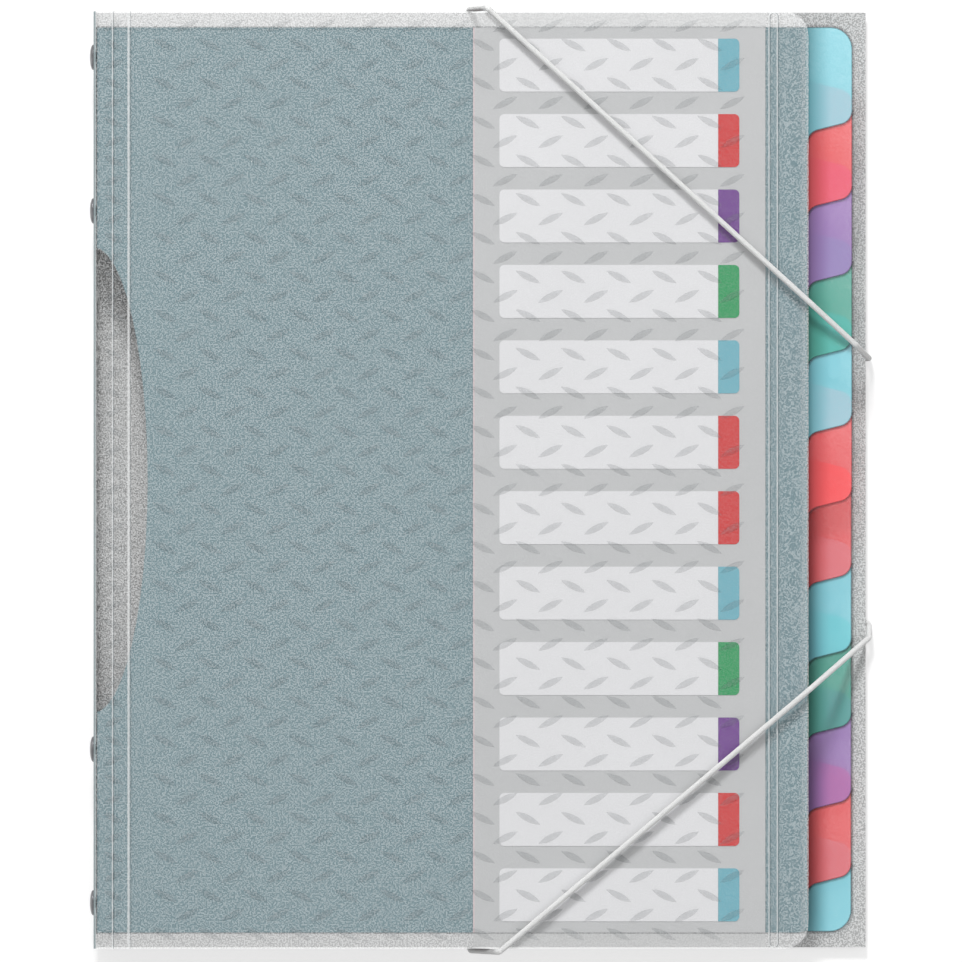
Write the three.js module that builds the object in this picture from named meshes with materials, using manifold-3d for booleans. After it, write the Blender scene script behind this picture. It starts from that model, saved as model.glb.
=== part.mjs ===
// Sorting folder: twelve tabbed plastic dividers riveted into a folded plastic cover,
// with an index label on the top divider and two elastic corner cords.
// Millimetres. The folder lies on its back cover: X across from the spine to the tabs,
// Y up the page, Z up. While it is drawn, x is counted from the spine's outer face and
// z from the underside of the back cover; the last lines move it to its own origin.

import * as THREE from "three";
import { mergeVertices } from "three/addons/utils/BufferGeometryUtils.js";
import Module from "manifold-3d";

const wasm = await Module();
wasm.setup();

// Sheets and clearances
const coverSheet = 0.8;
const leafSheet = 0.3;
const indexSheet = 0.25;
const labelRelief = 0.1;
const seatGap = 0.3;
const leafGap = 0.4;

// Cover
const coverHeight = 320;
const backWidth = 264;
const frontWidth = 244.1;
const coverFold = 2.5;
const frontCornerRadius = 8.5;
const foreEdgeDroop = 0.5;
const hingeInset = 12;
const hingeSlit = 0.2;
const spineScoreInset = 6.7;
const foreScoreInsets = [10.5, 13.3];
const scoreDepth = 0.25;
const scoreWidth = 1.2;

// Leaves
const leafCount = 12;
const leafHeight = 309;
const tabMargin = 5;
const bodyMargin = 0.5;
const leafFold = 1;
const paperSpace = 7.3;
const tabCornerRadius = 7.4;
const tabFlankRadius = 4.8;
const tabFlankSlope = THREE.MathUtils.degToRad(14);
const tabOverlap = 2.5;
const leafCornerRadius = 3;
const crescentDepth = 18.5;
const crescentHalfHeight = 79.5;

// Index label
const indexWidth = 99.8;
const indexForeMargin = 14.7;
const fieldHeight = 18.1;
const fieldWidth = 74.7;
const chipWidth = 7.2;
const fieldInset = 8.9;
const fieldCornerRadius = 1.7;
const fieldSlit = 0.4;

// Rivets
const rivetHeights = [-144.5, -92, 92, 144.5];
const rivetHeadDiameter = 8.65;
const rivetHeadRise = 1.4;
const rivetShankDiameter = 3;
const rivetHoleDiameter = 3.6;
const rivetSetDiameter = 4.6;
const rivetSetRise = 0.9;
const washerDiameter = 6.4;
const washerThickness = 0.6;
const headGap = 0.1;
const domeHeightShare = 0.85;
const setWallShare = 0.4;
const setCrownShare = 0.7;

// Elastic cords and their tags
const cordDiameter = 1.9;
const cordGap = 0.2;
const cordHoleDiameter = 2.7;
const cordHoleInset = 11;
const cordSides = 8;
const endHoleX = 126;
const upperSideHoleY = 40.5;
const lowerSideHoleY = -45;
const upperCrossing = { underX: 128.2, topX: 134.4, overY: 41.7, underY: 41.7 };
const lowerCrossing = { underX: 128.6, topX: 138.5, overY: -54, underY: -49.2 };
const upperCordTab = 4;
const lowerCordTab = 9;
const tagThickness = 0.8;
const tagLength = 12;
const tagWidth = 4.2;

// Heights, from the underside of the back cover upwards
const backTop = coverSheet;
const tagBottom = backTop + seatGap;
const leafPitch = leafSheet + leafGap;
const bundleCount = leafCount / 2;
const lowerBundleBottom = tagBottom + tagThickness + seatGap;
const lowerBundleTop = lowerBundleBottom + (bundleCount - 1) * leafPitch + leafSheet;
const upperBundleBottom = lowerBundleTop + paperSpace;
const upperBundleTop = upperBundleBottom + (bundleCount - 1) * leafPitch + leafSheet;
const indexBottom = upperBundleTop + seatGap;
const indexTop = indexBottom + indexSheet + labelRelief;
const frontBottom = indexTop + seatGap;
const frontTop = frontBottom + coverSheet;
const rivetLevel = (lowerBundleTop + upperBundleBottom) / 2;

// Places across, from the spine's outer face
const flangePitch = leafSheet + seatGap;
const flangeStart = coverSheet + seatGap;
const flangeEnd = flangeStart + (leafCount - 1) * flangePitch + leafSheet;
const tabTipX = backWidth - tabMargin;
const bodyEdgeX = frontWidth - bodyMargin;
const tabPitch = leafHeight / leafCount;
const wrap = cordDiameter / 2 + cordGap;

const plastic = (color, opacity) =>
  new THREE.MeshStandardMaterial({
    color,
    roughness: 0.45,
    metalness: 0,
    transparent: opacity < 1,
    opacity,
  });
const steel = new THREE.MeshStandardMaterial({ color: 0x8a8c8e, roughness: 0.3, metalness: 1 });
const clearGrey = plastic(0xc9cacb, 0.6);
const elasticWhite = plastic(0xe6e6e4, 1);
const labelWhite = plastic(0xe9e9ea, 1);
const blue = plastic(0x8fc9d3, 0.7);
const red = plastic(0xe47c7c, 0.7);
const violet = plastic(0xa78ebb, 0.7);
const green = plastic(0x72ac9d, 0.7);
const leafMaterials = [
  blue, red, violet, green, blue, red, red, blue, green, violet, red, blue,
];

// Closed geometry to solid and back
function solidOf(geometry) {
  const bare = geometry.clone();
  bare.deleteAttribute("normal");
  bare.deleteAttribute("uv");
  const merged = mergeVertices(bare, 1e-5);
  const vertProperties = new Float32Array(merged.attributes.position.array);
  const triVerts = new Uint32Array(merged.index.array);
  return new wasm.Manifold(new wasm.Mesh({ numProp: 3, vertProperties, triVerts }));
}

function geometryOf(solid) {
  const mesh = solid.getMesh();
  const geometry = new THREE.BufferGeometry();
  geometry.setAttribute("position", new THREE.BufferAttribute(mesh.vertProperties, 3));
  geometry.setIndex(new THREE.BufferAttribute(mesh.triVerts, 1));
  geometry.computeVertexNormals();
  return geometry;
}

// A plan outline in x and y, made a plate from one height to another
function plateUp(shape, bottom, top, curveSegments = 6) {
  const geometry = new THREE.ExtrudeGeometry(shape, {
    depth: top - bottom,
    bevelEnabled: false,
    curveSegments,
  });
  return solidOf(geometry.translate(0, 0, bottom));
}

// A profile in x and z, run along Y and centred on it
function profileAlongY(shape, length, curveSegments = 2) {
  const geometry = new THREE.ExtrudeGeometry(shape, {
    depth: length,
    bevelEnabled: false,
    curveSegments,
  });
  geometry.rotateX(Math.PI / 2);
  return solidOf(geometry.translate(0, length / 2, 0));
}

// A round bar along X, for the rivet holes
function barAlongX(diameter, start, end, y, z, sides) {
  const geometry = new THREE.CylinderGeometry(diameter / 2, diameter / 2, end - start, sides);
  geometry.rotateZ(Math.PI / 2);
  return solidOf(geometry.translate((start + end) / 2, y, z));
}

function roundedRectangle(left, right, bottom, top, radii) {
  const [topLeft, topRight, bottomRight, bottomLeft] = radii;
  const shape = new THREE.Shape();
  shape.moveTo(left + topLeft, top);
  shape.lineTo(right - topRight, top);
  if (topRight) shape.absarc(right - topRight, top - topRight, topRight, Math.PI / 2, 0, true);
  shape.lineTo(right, bottom + bottomRight);
  if (bottomRight) {
    shape.absarc(right - bottomRight, bottom + bottomRight, bottomRight, 0, -Math.PI / 2, true);
  }
  shape.lineTo(left + bottomLeft, bottom);
  if (bottomLeft) {
    shape.absarc(left + bottomLeft, bottom + bottomLeft, bottomLeft, -Math.PI / 2, -Math.PI, true);
  }
  shape.lineTo(left, top - topLeft);
  if (topLeft) shape.absarc(left + topLeft, top - topLeft, topLeft, Math.PI, Math.PI / 2, true);
  return shape;
}

function disc(x, y, radius) {
  return new THREE.Shape().absarc(x, y, radius, 0, 2 * Math.PI, false);
}

// Cover

// The V of a score pressed into a top face, walked towards the fore-edge
function addScore(shape, x, surface) {
  shape.lineTo(x - scoreWidth / 2, surface);
  shape.lineTo(x, surface - scoreDepth);
  shape.lineTo(x + scoreWidth / 2, surface);
}

// Back panel, spine and the margin strip over the leaves are one folded sheet
function backCoverProfile() {
  const inner = coverFold - coverSheet;
  const shape = new THREE.Shape();
  shape.moveTo(backWidth, 0);
  shape.lineTo(backWidth, backTop);
  shape.lineTo(coverFold, backTop);
  shape.absarc(coverFold, coverFold, inner, -Math.PI / 2, -Math.PI, true);
  shape.lineTo(coverSheet, frontTop - coverFold);
  shape.absarc(coverFold, frontTop - coverFold, inner, Math.PI, Math.PI / 2, true);
  shape.lineTo(hingeInset - hingeSlit, frontBottom);
  shape.lineTo(hingeInset - hingeSlit, frontTop);
  shape.lineTo(spineScoreInset + scoreWidth / 2, frontTop);
  shape.lineTo(spineScoreInset, frontTop - scoreDepth);
  shape.lineTo(spineScoreInset - scoreWidth / 2, frontTop);
  shape.lineTo(coverFold, frontTop);
  shape.absarc(coverFold, frontTop - coverFold, coverFold, Math.PI / 2, Math.PI, false);
  shape.lineTo(0, coverFold);
  shape.absarc(coverFold, coverFold, coverFold, Math.PI, 1.5 * Math.PI, false);
  return shape;
}

function backCover() {
  let cover = profileAlongY(backCoverProfile(), coverHeight, 3);
  for (const y of rivetHeights) {
    cover = cover.subtract(barAlongX(rivetHoleDiameter, -1, coverSheet + 1, y, rivetLevel, 12));
  }
  for (const hole of cordHoles) {
    cover = cover.subtract(plateUp(disc(hole.x, hole.y, cordHoleDiameter / 2), -1, backTop + 1));
  }
  return cover;
}

function frontCover() {
  const start = hingeInset + hingeSlit;
  const scores = foreScoreInsets.map((inset) => frontWidth - inset).sort((a, b) => a - b);
  const droopStart = scores[scores.length - 1] + scoreWidth / 2;
  const profile = new THREE.Shape();
  profile.moveTo(start, frontBottom);
  profile.lineTo(start, frontTop);
  for (const x of scores) addScore(profile, x, frontTop);
  profile.lineTo(frontWidth, frontTop - foreEdgeDroop);
  profile.lineTo(frontWidth, frontBottom - foreEdgeDroop);
  profile.lineTo(droopStart, frontBottom);
  const corners = [0, frontCornerRadius, frontCornerRadius, 0];
  const half = coverHeight / 2;
  const outline = roundedRectangle(start - 1, frontWidth, -half, half, corners);
  const plan = plateUp(outline, frontBottom - foreEdgeDroop - 1, frontTop + 1);
  return profileAlongY(profile, coverHeight).intersect(plan);
}

// Leaves

// Sheet and flange of one leaf: it folds at the spine, down in the upper bundle, up in the lower
function leafProfile(foldX, outerZ, turn, flangeZ) {
  const centreX = foldX + leafFold;
  const centreZ = outerZ + turn * leafFold;
  const inner = leafFold - leafSheet;
  const start = (-turn * Math.PI) / 2;
  const shape = new THREE.Shape();
  shape.moveTo(tabTipX, outerZ);
  shape.lineTo(centreX, outerZ);
  shape.absarc(centreX, centreZ, leafFold, start, -turn * Math.PI, turn > 0);
  shape.lineTo(foldX, flangeZ);
  shape.lineTo(foldX + leafSheet, flangeZ);
  shape.lineTo(foldX + leafSheet, centreZ);
  shape.absarc(centreX, centreZ, inner, -turn * Math.PI, start, turn < 0);
  shape.lineTo(tabTipX, outerZ + turn * leafSheet);
  return shape;
}

// The quarter turn less the flank's slope, which each of a flank's arcs sweeps
const flankTurn = Math.PI / 2 - tabFlankSlope;

// How far a tab's upper flank rises from the tip to the body's edge: one arc and a straight
function upperFlankRise() {
  const straight = tabTipX - bodyEdgeX - tabFlankRadius * (1 - Math.cos(flankTurn));
  return tabFlankRadius * Math.sin(flankTurn) + straight * Math.tan(tabFlankSlope);
}

// How far a tab's lower flank falls from the tip to the body's edge: an S of two arcs
function lowerFlankFall() {
  const straight = tabTipX - bodyEdgeX - 2 * tabFlankRadius * (1 - Math.cos(flankTurn));
  return 2 * tabFlankRadius * Math.sin(flankTurn) + straight * Math.tan(tabFlankSlope);
}

// The upper flank, walked from the body's edge out to the tip
function addUpperFlank(shape, tipY) {
  const r = tabFlankRadius;
  shape.lineTo(bodyEdgeX, tipY + upperFlankRise());
  shape.absarc(tabTipX - r, tipY, r, flankTurn, 0, true);
}

// The lower flank, walked from the tip back to the body's edge
function addLowerFlank(shape, tipY) {
  const r = tabFlankRadius;
  const root = tipY - lowerFlankFall();
  shape.absarc(tabTipX - r, tipY, r, 0, -flankTurn, true);
  shape.absarc(bodyEdgeX + r, root, r, Math.PI - flankTurn, Math.PI, false);
}

// Plan outline of a leaf, clockwise from the head's spine corner
function leafOutline(index) {
  const half = leafHeight / 2;
  const head = half - index * tabPitch;
  const tail = head - tabPitch - tabOverlap;
  const r = tabCornerRadius;
  const bodyCornerX = bodyEdgeX - leafCornerRadius;
  const bodyCornerY = half - leafCornerRadius;
  const shape = new THREE.Shape();
  shape.moveTo(0, half);
  if (index === 0) {
    shape.lineTo(tabTipX - r, half);
    shape.absarc(tabTipX - r, half - r, r, Math.PI / 2, 0, true);
  } else {
    shape.lineTo(bodyCornerX, half);
    shape.absarc(bodyCornerX, bodyCornerY, leafCornerRadius, Math.PI / 2, 0, true);
    addUpperFlank(shape, head);
  }
  if (index === leafCount - 1) {
    shape.lineTo(tabTipX, r - half);
    shape.absarc(tabTipX - r, r - half, r, 0, -Math.PI / 2, true);
  } else {
    shape.lineTo(tabTipX, tail);
    addLowerFlank(shape, tail);
    shape.lineTo(bodyEdgeX, -bodyCornerY);
    shape.absarc(bodyCornerX, -bodyCornerY, leafCornerRadius, 0, -Math.PI / 2, true);
  }
  shape.lineTo(0, -half);
  return shape;
}

function leaf(index) {
  const upper = index < bundleCount;
  const foldX = flangeStart + (upper ? index : bundleCount + leafCount - 1 - index) * flangePitch;
  const outerZ = upper
    ? upperBundleTop - index * leafPitch
    : lowerBundleBottom + (leafCount - 1 - index) * leafPitch;
  const flangeZ = upper ? lowerBundleTop + seatGap : upperBundleBottom - seatGap;
  const profile = leafProfile(foldX, outerZ, upper ? -1 : 1, flangeZ);
  const plan = plateUp(leafOutline(index), 0, frontTop, 5);
  const crescent = new THREE.Shape();
  crescent.absellipse(0, 0, crescentDepth, crescentHalfHeight, 0, 2 * Math.PI, false, 0);
  let sheet = profileAlongY(profile, leafHeight)
    .intersect(plan)
    .subtract(plateUp(crescent, -1, frontTop + 1, 24));
  for (const y of rivetHeights) {
    sheet = sheet.subtract(
      barAlongX(rivetHoleDiameter, foldX - 0.1, foldX + leafSheet + 0.1, y, rivetLevel, 8),
    );
  }
  return sheet;
}

// Index label, with its fields raised a little
function indexLabel() {
  const right = frontWidth - indexForeMargin;
  const left = right - indexWidth;
  const half = leafHeight / 2;
  const label = roundedRectangle(left, right, -half, half, [0, 0, 0, 0]);
  const pieces = [plateUp(label, indexBottom, indexBottom + indexSheet)];
  const fieldLeft = right - fieldInset - chipWidth - fieldWidth;
  const chipLeft = fieldLeft + fieldWidth;
  for (let row = 0; row < leafCount; row += 1) {
    const middle = half - (row + 0.5) * tabPitch;
    const bottom = middle - fieldHeight / 2;
    const top = middle + fieldHeight / 2;
    const r = fieldCornerRadius;
    const field = roundedRectangle(fieldLeft, chipLeft - fieldSlit, bottom, top, [r, 0, 0, r]);
    const chip = roundedRectangle(chipLeft, chipLeft + chipWidth, bottom, top, [0, r, r, 0]);
    pieces.push(plateUp(field, indexBottom, indexTop, 2));
    pieces.push(plateUp(chip, indexBottom, indexTop, 2));
  }
  return pieces.reduce((whole, piece) => whole.add(piece));
}

// Rivets: a domed head on the spine, a shank through the flanges, and an end set over a washer
const rivetTurns = 16;
const domeSteps = 4;

function turnedAlongX(points, y) {
  const profile = points.map(([radius, x]) => new THREE.Vector2(radius, x));
  const geometry = new THREE.LatheGeometry(profile, rivetTurns);
  geometry.rotateZ(-Math.PI / 2);
  return solidOf(geometry.translate(0, y, rivetLevel));
}

const washerStart = flangeEnd + seatGap;
const washerEnd = washerStart + washerThickness;

function rivet(y) {
  const head = rivetHeadDiameter / 2;
  const shank = rivetShankDiameter / 2;
  const set = rivetSetDiameter / 2;
  const setStart = washerEnd + headGap;
  const points = [[0, -rivetHeadRise]];
  for (let step = 1; step <= domeSteps; step += 1) {
    const angle = (step / domeSteps) * (Math.PI / 2);
    const drop = (rivetHeadRise - headGap) * (1 - Math.cos(angle));
    points.push([head * Math.sin(angle), -rivetHeadRise + drop * domeHeightShare]);
  }
  points.push([head, -headGap]);
  points.push([shank, -headGap]);
  points.push([shank, setStart]);
  points.push([set, setStart]);
  points.push([set, setStart + rivetSetRise * setWallShare]);
  points.push([set * setCrownShare, setStart + rivetSetRise]);
  points.push([0, setStart + rivetSetRise]);
  return turnedAlongX(points, y);
}

function washer(y) {
  const inner = rivetHoleDiameter / 2;
  const outer = washerDiameter / 2;
  return turnedAlongX(
    [
      [inner, washerStart],
      [outer, washerStart],
      [outer, washerEnd],
      [inner, washerEnd],
      [inner, washerStart],
    ],
    y,
  );
}

// Elastic cords

// Where the cords leave the back cover: the upper cord's two holes, then the lower cord's
const holeEdgeY = coverHeight / 2 - cordHoleInset;
const holeEdgeX = backWidth - cordHoleInset;
const cordHoles = [
  { name: "head", x: endHoleX, y: holeEdgeY },
  { name: "upper_side", x: holeEdgeX, y: upperSideHoleY },
  { name: "tail", x: endHoleX, y: -holeEdgeY },
  { name: "lower_side", x: holeEdgeX, y: lowerSideHoleY },
];

// A path through corner points with each corner rounded, sampled finely only in its bends
class CordPath extends THREE.Curve {
  constructor(corners, radius, bendSteps) {
    super();
    this.stations = [corners[0]];
    for (let i = 1; i < corners.length - 1; i += 1) {
      const back = corners[i - 1].clone().sub(corners[i]).normalize();
      const on = corners[i + 1].clone().sub(corners[i]).normalize();
      const half = back.angleTo(on) / 2;
      const reach = radius / Math.tan(half);
      const start = corners[i].clone().addScaledVector(back, reach);
      const inward = back.clone().add(on).normalize();
      const centre = corners[i].clone().addScaledVector(inward, radius / Math.sin(half));
      const across = start.clone().sub(centre);
      const along = back.clone().negate();
      const sweep = Math.PI - 2 * half;
      const steps = Math.max(2, Math.round((sweep / (Math.PI / 2)) * bendSteps));
      for (let step = 0; step <= steps; step += 1) {
        const angle = (sweep * step) / steps;
        this.stations.push(
          centre
            .clone()
            .addScaledVector(across, Math.cos(angle))
            .addScaledVector(along, radius * Math.sin(angle)),
        );
      }
    }
    this.stations.push(corners[corners.length - 1]);
  }

  getPointAt(share, target = new THREE.Vector3()) {
    const place = share * (this.stations.length - 1);
    const index = Math.min(Math.floor(place), this.stations.length - 2);
    return target.lerpVectors(this.stations[index], this.stations[index + 1], place - index);
  }

  getTangentAt(share, target = new THREE.Vector3()) {
    const last = this.stations.length - 1;
    const index = Math.round(share * last);
    const before = this.stations[Math.max(index - 1, 0)];
    const after = this.stations[Math.min(index + 1, last)];
    const here = this.stations[index];
    const arriving = here.clone().sub(before).normalize();
    const leaving = after.clone().sub(here).normalize();
    return target.copy(arriving).add(leaving).normalize();
  }
}

function cord(corners) {
  const path = new CordPath(corners, wrap, 4);
  const section = new THREE.Shape();
  for (let side = 0; side < cordSides; side += 1) {
    const angle = ((side + 0.5) / cordSides) * 2 * Math.PI;
    const x = (cordDiameter / 2) * Math.cos(angle);
    const y = (cordDiameter / 2) * Math.sin(angle);
    if (side) section.lineTo(x, y);
    else section.moveTo(x, y);
  }
  const geometry = new THREE.ExtrudeGeometry(section, {
    steps: path.stations.length - 1,
    extrudePath: path,
    bevelEnabled: false,
  });
  return solidOf(geometry);
}

// Height of a leaf's upper face, by its number from the top
const leafTop = (number) =>
  number <= bundleCount
    ? upperBundleTop - (number - 1) * leafPitch
    : lowerBundleBottom + (leafCount - number) * leafPitch + leafSheet;

// One cord's corners: up from its first hole, round the cover's end edge, over the front cover
// and the tabs, round the back cover's fore-edge and up into its second hole
function cordCorners(endHole, sideHole, crossing, tabNumber) {
  const v = (x, y, z) => new THREE.Vector3(x, y, z);
  const side = Math.sign(endHole.y);
  const under = -wrap;
  const top = frontTop + wrap;
  const endY = side * (coverHeight / 2 + wrap);
  const foreX = backWidth + wrap;
  const slope = (crossing.overY - endY) / (foreX - crossing.topX);
  const lineY = (x) => endY + slope * (x - crossing.topX);
  const edgeX = frontWidth + wrap / 2;
  const tipX = tabTipX + wrap;
  return [
    v(endHole.x, endHole.y, backTop),
    v(endHole.x, endHole.y, under),
    v(crossing.underX, endY, under),
    v(crossing.topX, endY, top),
    v(edgeX, lineY(edgeX), top),
    v(tipX, lineY(tipX), leafTop(tabNumber) + wrap),
    v(foreX, crossing.overY, backTop + wrap),
    v(foreX, crossing.underY, under),
    v(sideHole.x, sideHole.y, under),
    v(sideHole.x, sideHole.y, backTop),
  ];
}

const [headHole, upperSideHole, tailHole, lowerSideHole] = cordHoles;
const upperCorners = cordCorners(headHole, upperSideHole, upperCrossing, upperCordTab);
const lowerCorners = cordCorners(tailHole, lowerSideHole, lowerCrossing, lowerCordTab);

// A flat bar across the hole inside the back cover, to which the cord's end is fixed
function cordTag(hole) {
  const alongY = hole.x === holeEdgeX;
  const w = (alongY ? tagWidth : tagLength) / 2;
  const h = (alongY ? tagLength : tagWidth) / 2;
  const r = tagWidth / 2 - 0.1;
  const outline = roundedRectangle(hole.x - w, hole.x + w, hole.y - h, hole.y + h, [r, r, r, r]);
  return plateUp(outline, tagBottom, tagBottom + tagThickness, 3);
}

const folder = new THREE.Group();

function addPiece(name, solid, material) {
  const mesh = new THREE.Mesh(geometryOf(solid), material);
  mesh.name = name;
  folder.add(mesh);
}

addPiece("cover_back", backCover(), clearGrey);
addPiece("cover_front", frontCover(), clearGrey);
for (let index = 0; index < leafCount; index += 1) {
  const number = String(index + 1).padStart(2, "0");
  addPiece(`leaf_${number}`, leaf(index), leafMaterials[index]);
}
addPiece("index_label", indexLabel(), labelWhite);
rivetHeights.forEach((y, index) => {
  addPiece(`rivet_${index + 1}`, rivet(y), steel);
  addPiece(`rivet_washer_${index + 1}`, washer(y), steel);
});
for (const hole of cordHoles) addPiece(`cord_tag_${hole.name}`, cordTag(hole), steel);
addPiece("elastic_upper", cord(upperCorners), elasticWhite);
addPiece("elastic_lower", cord(lowerCorners), elasticWhite);

// The origin is under the middle of the whole folder, at the level that it lies on
const foremost = backWidth + wrap + cordDiameter / 2;
const lowest = wrap + cordDiameter / 2;
folder.position.set(-(foremost - rivetHeadRise) / 2, 0, lowest);

export default folder;
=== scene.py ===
"""Dresses the sorting folder: see-through embossed cover, tinted dividers, printed index,
steel rivets and elastic corner cords, on a pale table seen from straight above.

Lengths are metres. The folder lies on its back cover: X from the spine to the tabs, Y up the
page, Z up. Every place is worked out from the boxes of the frame's own nodes.
"""

import logging
import math
from dataclasses import dataclass, field
from enum import Enum

import bmesh
import bpy
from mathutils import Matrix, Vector


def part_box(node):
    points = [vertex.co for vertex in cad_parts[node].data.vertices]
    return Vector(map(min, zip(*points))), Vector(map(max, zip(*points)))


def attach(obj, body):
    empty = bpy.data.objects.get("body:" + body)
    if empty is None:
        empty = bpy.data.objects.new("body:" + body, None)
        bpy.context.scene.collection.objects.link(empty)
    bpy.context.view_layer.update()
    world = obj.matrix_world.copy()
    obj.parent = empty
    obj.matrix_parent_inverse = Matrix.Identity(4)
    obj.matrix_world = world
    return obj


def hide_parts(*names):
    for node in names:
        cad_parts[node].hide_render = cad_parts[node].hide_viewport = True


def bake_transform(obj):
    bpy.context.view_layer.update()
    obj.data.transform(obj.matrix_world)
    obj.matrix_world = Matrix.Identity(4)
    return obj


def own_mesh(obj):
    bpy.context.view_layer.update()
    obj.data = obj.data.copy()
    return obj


LOG = logging.getLogger("sorting_folder")
MM = 0.001
LEAF_SHEET = 0.3 * MM
COVER_SHEET = 0.8 * MM
RIVETS = range(1, 5)

Colour = tuple[float, float, float, float]
Point = tuple[float, float, float]


class Body(Enum):
    """The rigid bodies that pieces ride on."""

    FOLDER = "folder"
    FRONT = "front"


class Tint(Enum):
    """The four colours of film, as they read on a tab lying on the grey back cover."""

    BLUE = (146, 205, 216)
    RED = (227, 122, 124)
    VIOLET = (166, 141, 187)
    GREEN = (117, 173, 160)


TAB_ORDER = (
    Tint.BLUE,
    Tint.RED,
    Tint.VIOLET,
    Tint.GREEN,
    Tint.BLUE,
    Tint.RED,
    Tint.RED,
    Tint.BLUE,
    Tint.GREEN,
    Tint.VIOLET,
    Tint.RED,
    Tint.BLUE,
)
CHIP_COLOURS = {
    Tint.BLUE: (107, 174, 189),
    Tint.RED: (204, 36, 36),
    Tint.VIOLET: (106, 46, 138),
    Tint.GREEN: (12, 148, 84),
}


def linear(red: float, green: float, blue: float, alpha: float = 1.0) -> Colour:
    """Turns an 8-bit display colour into the linear colour a shader takes.

    Args:
        red: red, 0 to 255.
        green: green, 0 to 255.
        blue: blue, 0 to 255.
        alpha: opacity, 0 to 1.

    Returns:
        The linear colour with its opacity.
    """

    def channel(value: float) -> float:
        """Undoes the display curve on one channel."""
        share = value / 255
        return share / 12.92 if share <= 0.04045 else ((share + 0.055) / 1.055) ** 2.4

    return (channel(red), channel(green), channel(blue), alpha)


def scaled(colour: Colour, share: float) -> Colour:
    """A colour made darker or lighter by a share, with its opacity kept."""
    return (colour[0] * share, colour[1] * share, colour[2] * share, colour[3])


class Nodes:
    """Short calls for building a node tree of any kind."""

    def __init__(self, tree: bpy.types.NodeTree) -> None:
        """Keeps the tree that new nodes go into."""
        self.tree = tree

    def add(self, kind: str, **settings: object) -> bpy.types.Node:
        """Adds a node.

        Args:
            kind: the node's type name.
            settings: attributes set on the node.

        Returns:
            The new node.
        """
        node = self.tree.nodes.new(kind)
        for name, value in settings.items():
            setattr(node, name, value)
        return node

    def link(self, source: bpy.types.NodeSocket, target: bpy.types.NodeSocket) -> None:
        """Joins an output to an input."""
        self.tree.links.new(source, target)

    def fill(self, node: bpy.types.Node, name: str | int, value: object) -> None:
        """Links a socket to a node's input, or sets a plain value on it.

        Args:
            node: the node.
            name: the input's name or number.
            value: a socket or a plain value.
        """
        if isinstance(value, bpy.types.NodeSocket):
            self.link(value, node.inputs[name])
        else:
            node.inputs[name].default_value = value

    def math(self, operation: str, first: object, second: object = 0.0) -> bpy.types.NodeSocket:
        """Adds a Math node.

        Args:
            operation: the operation's name.
            first: a socket or a number.
            second: a socket or a number.

        Returns:
            The result's socket.
        """
        node = self.add("ShaderNodeMath", operation=operation)
        self.fill(node, 0, first)
        self.fill(node, 1, second)
        return node.outputs[0]

    def mix(self, share: object, first: object, second: object) -> bpy.types.NodeSocket:
        """Mixes two colours.

        Args:
            share: how much of the second colour there is, a socket or a number.
            first: a socket or a colour.
            second: a socket or a colour.

        Returns:
            The result's socket.
        """
        node = self.add("ShaderNodeMix", data_type="RGBA")
        self.fill(node, 0, share)
        self.fill(node, 6, first)
        self.fill(node, 7, second)
        return node.outputs[2]

    def ramp(
        self, value: object, low: float, high: float, to_low: float, to_high: float
    ) -> bpy.types.NodeSocket:
        """Maps one range of a value onto another, clamped.

        Args:
            value: a socket or a number.
            low: the value that gives to_low.
            high: the value that gives to_high.
            to_low: one end of the new range.
            to_high: its other end.

        Returns:
            The result's socket.
        """
        node = self.add("ShaderNodeMapRange")
        for name, number in (
            ("From Min", low),
            ("From Max", high),
            ("To Min", to_low),
            ("To Max", to_high),
        ):
            node.inputs[name].default_value = number
        self.fill(node, "Value", value)
        return node.outputs["Result"]

    def part(self, vector: bpy.types.NodeSocket, name: str) -> bpy.types.NodeSocket:
        """Takes one component out of a vector.

        Args:
            vector: the vector's socket.
            name: X, Y or Z.

        Returns:
            The component's socket.
        """
        split = self.add("ShaderNodeSeparateXYZ")
        self.link(vector, split.inputs[0])
        return split.outputs[name]


def new_group(
    name: str, inputs: dict[str, float], outputs: tuple[str, ...]
) -> tuple[bpy.types.NodeTree, Nodes, bpy.types.Node, bpy.types.Node]:
    """Starts a shader node group.

    Args:
        name: the group's name.
        inputs: float inputs with their defaults; "Coordinates" is added as a vector.
        outputs: names of the float outputs.

    Returns:
        The tree, its Nodes helper, the input node and the output node.
    """
    tree = bpy.data.node_groups.new(name, "ShaderNodeTree")
    tree.interface.new_socket("Coordinates", in_out="INPUT", socket_type="NodeSocketVector")
    for key, value in inputs.items():
        socket = tree.interface.new_socket(key, in_out="INPUT", socket_type="NodeSocketFloat")
        socket.default_value = value
    for key in outputs:
        tree.interface.new_socket(key, in_out="OUTPUT", socket_type="NodeSocketFloat")
    nodes = Nodes(tree)
    return tree, nodes, nodes.add("NodeGroupInput"), nodes.add("NodeGroupOutput")


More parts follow.
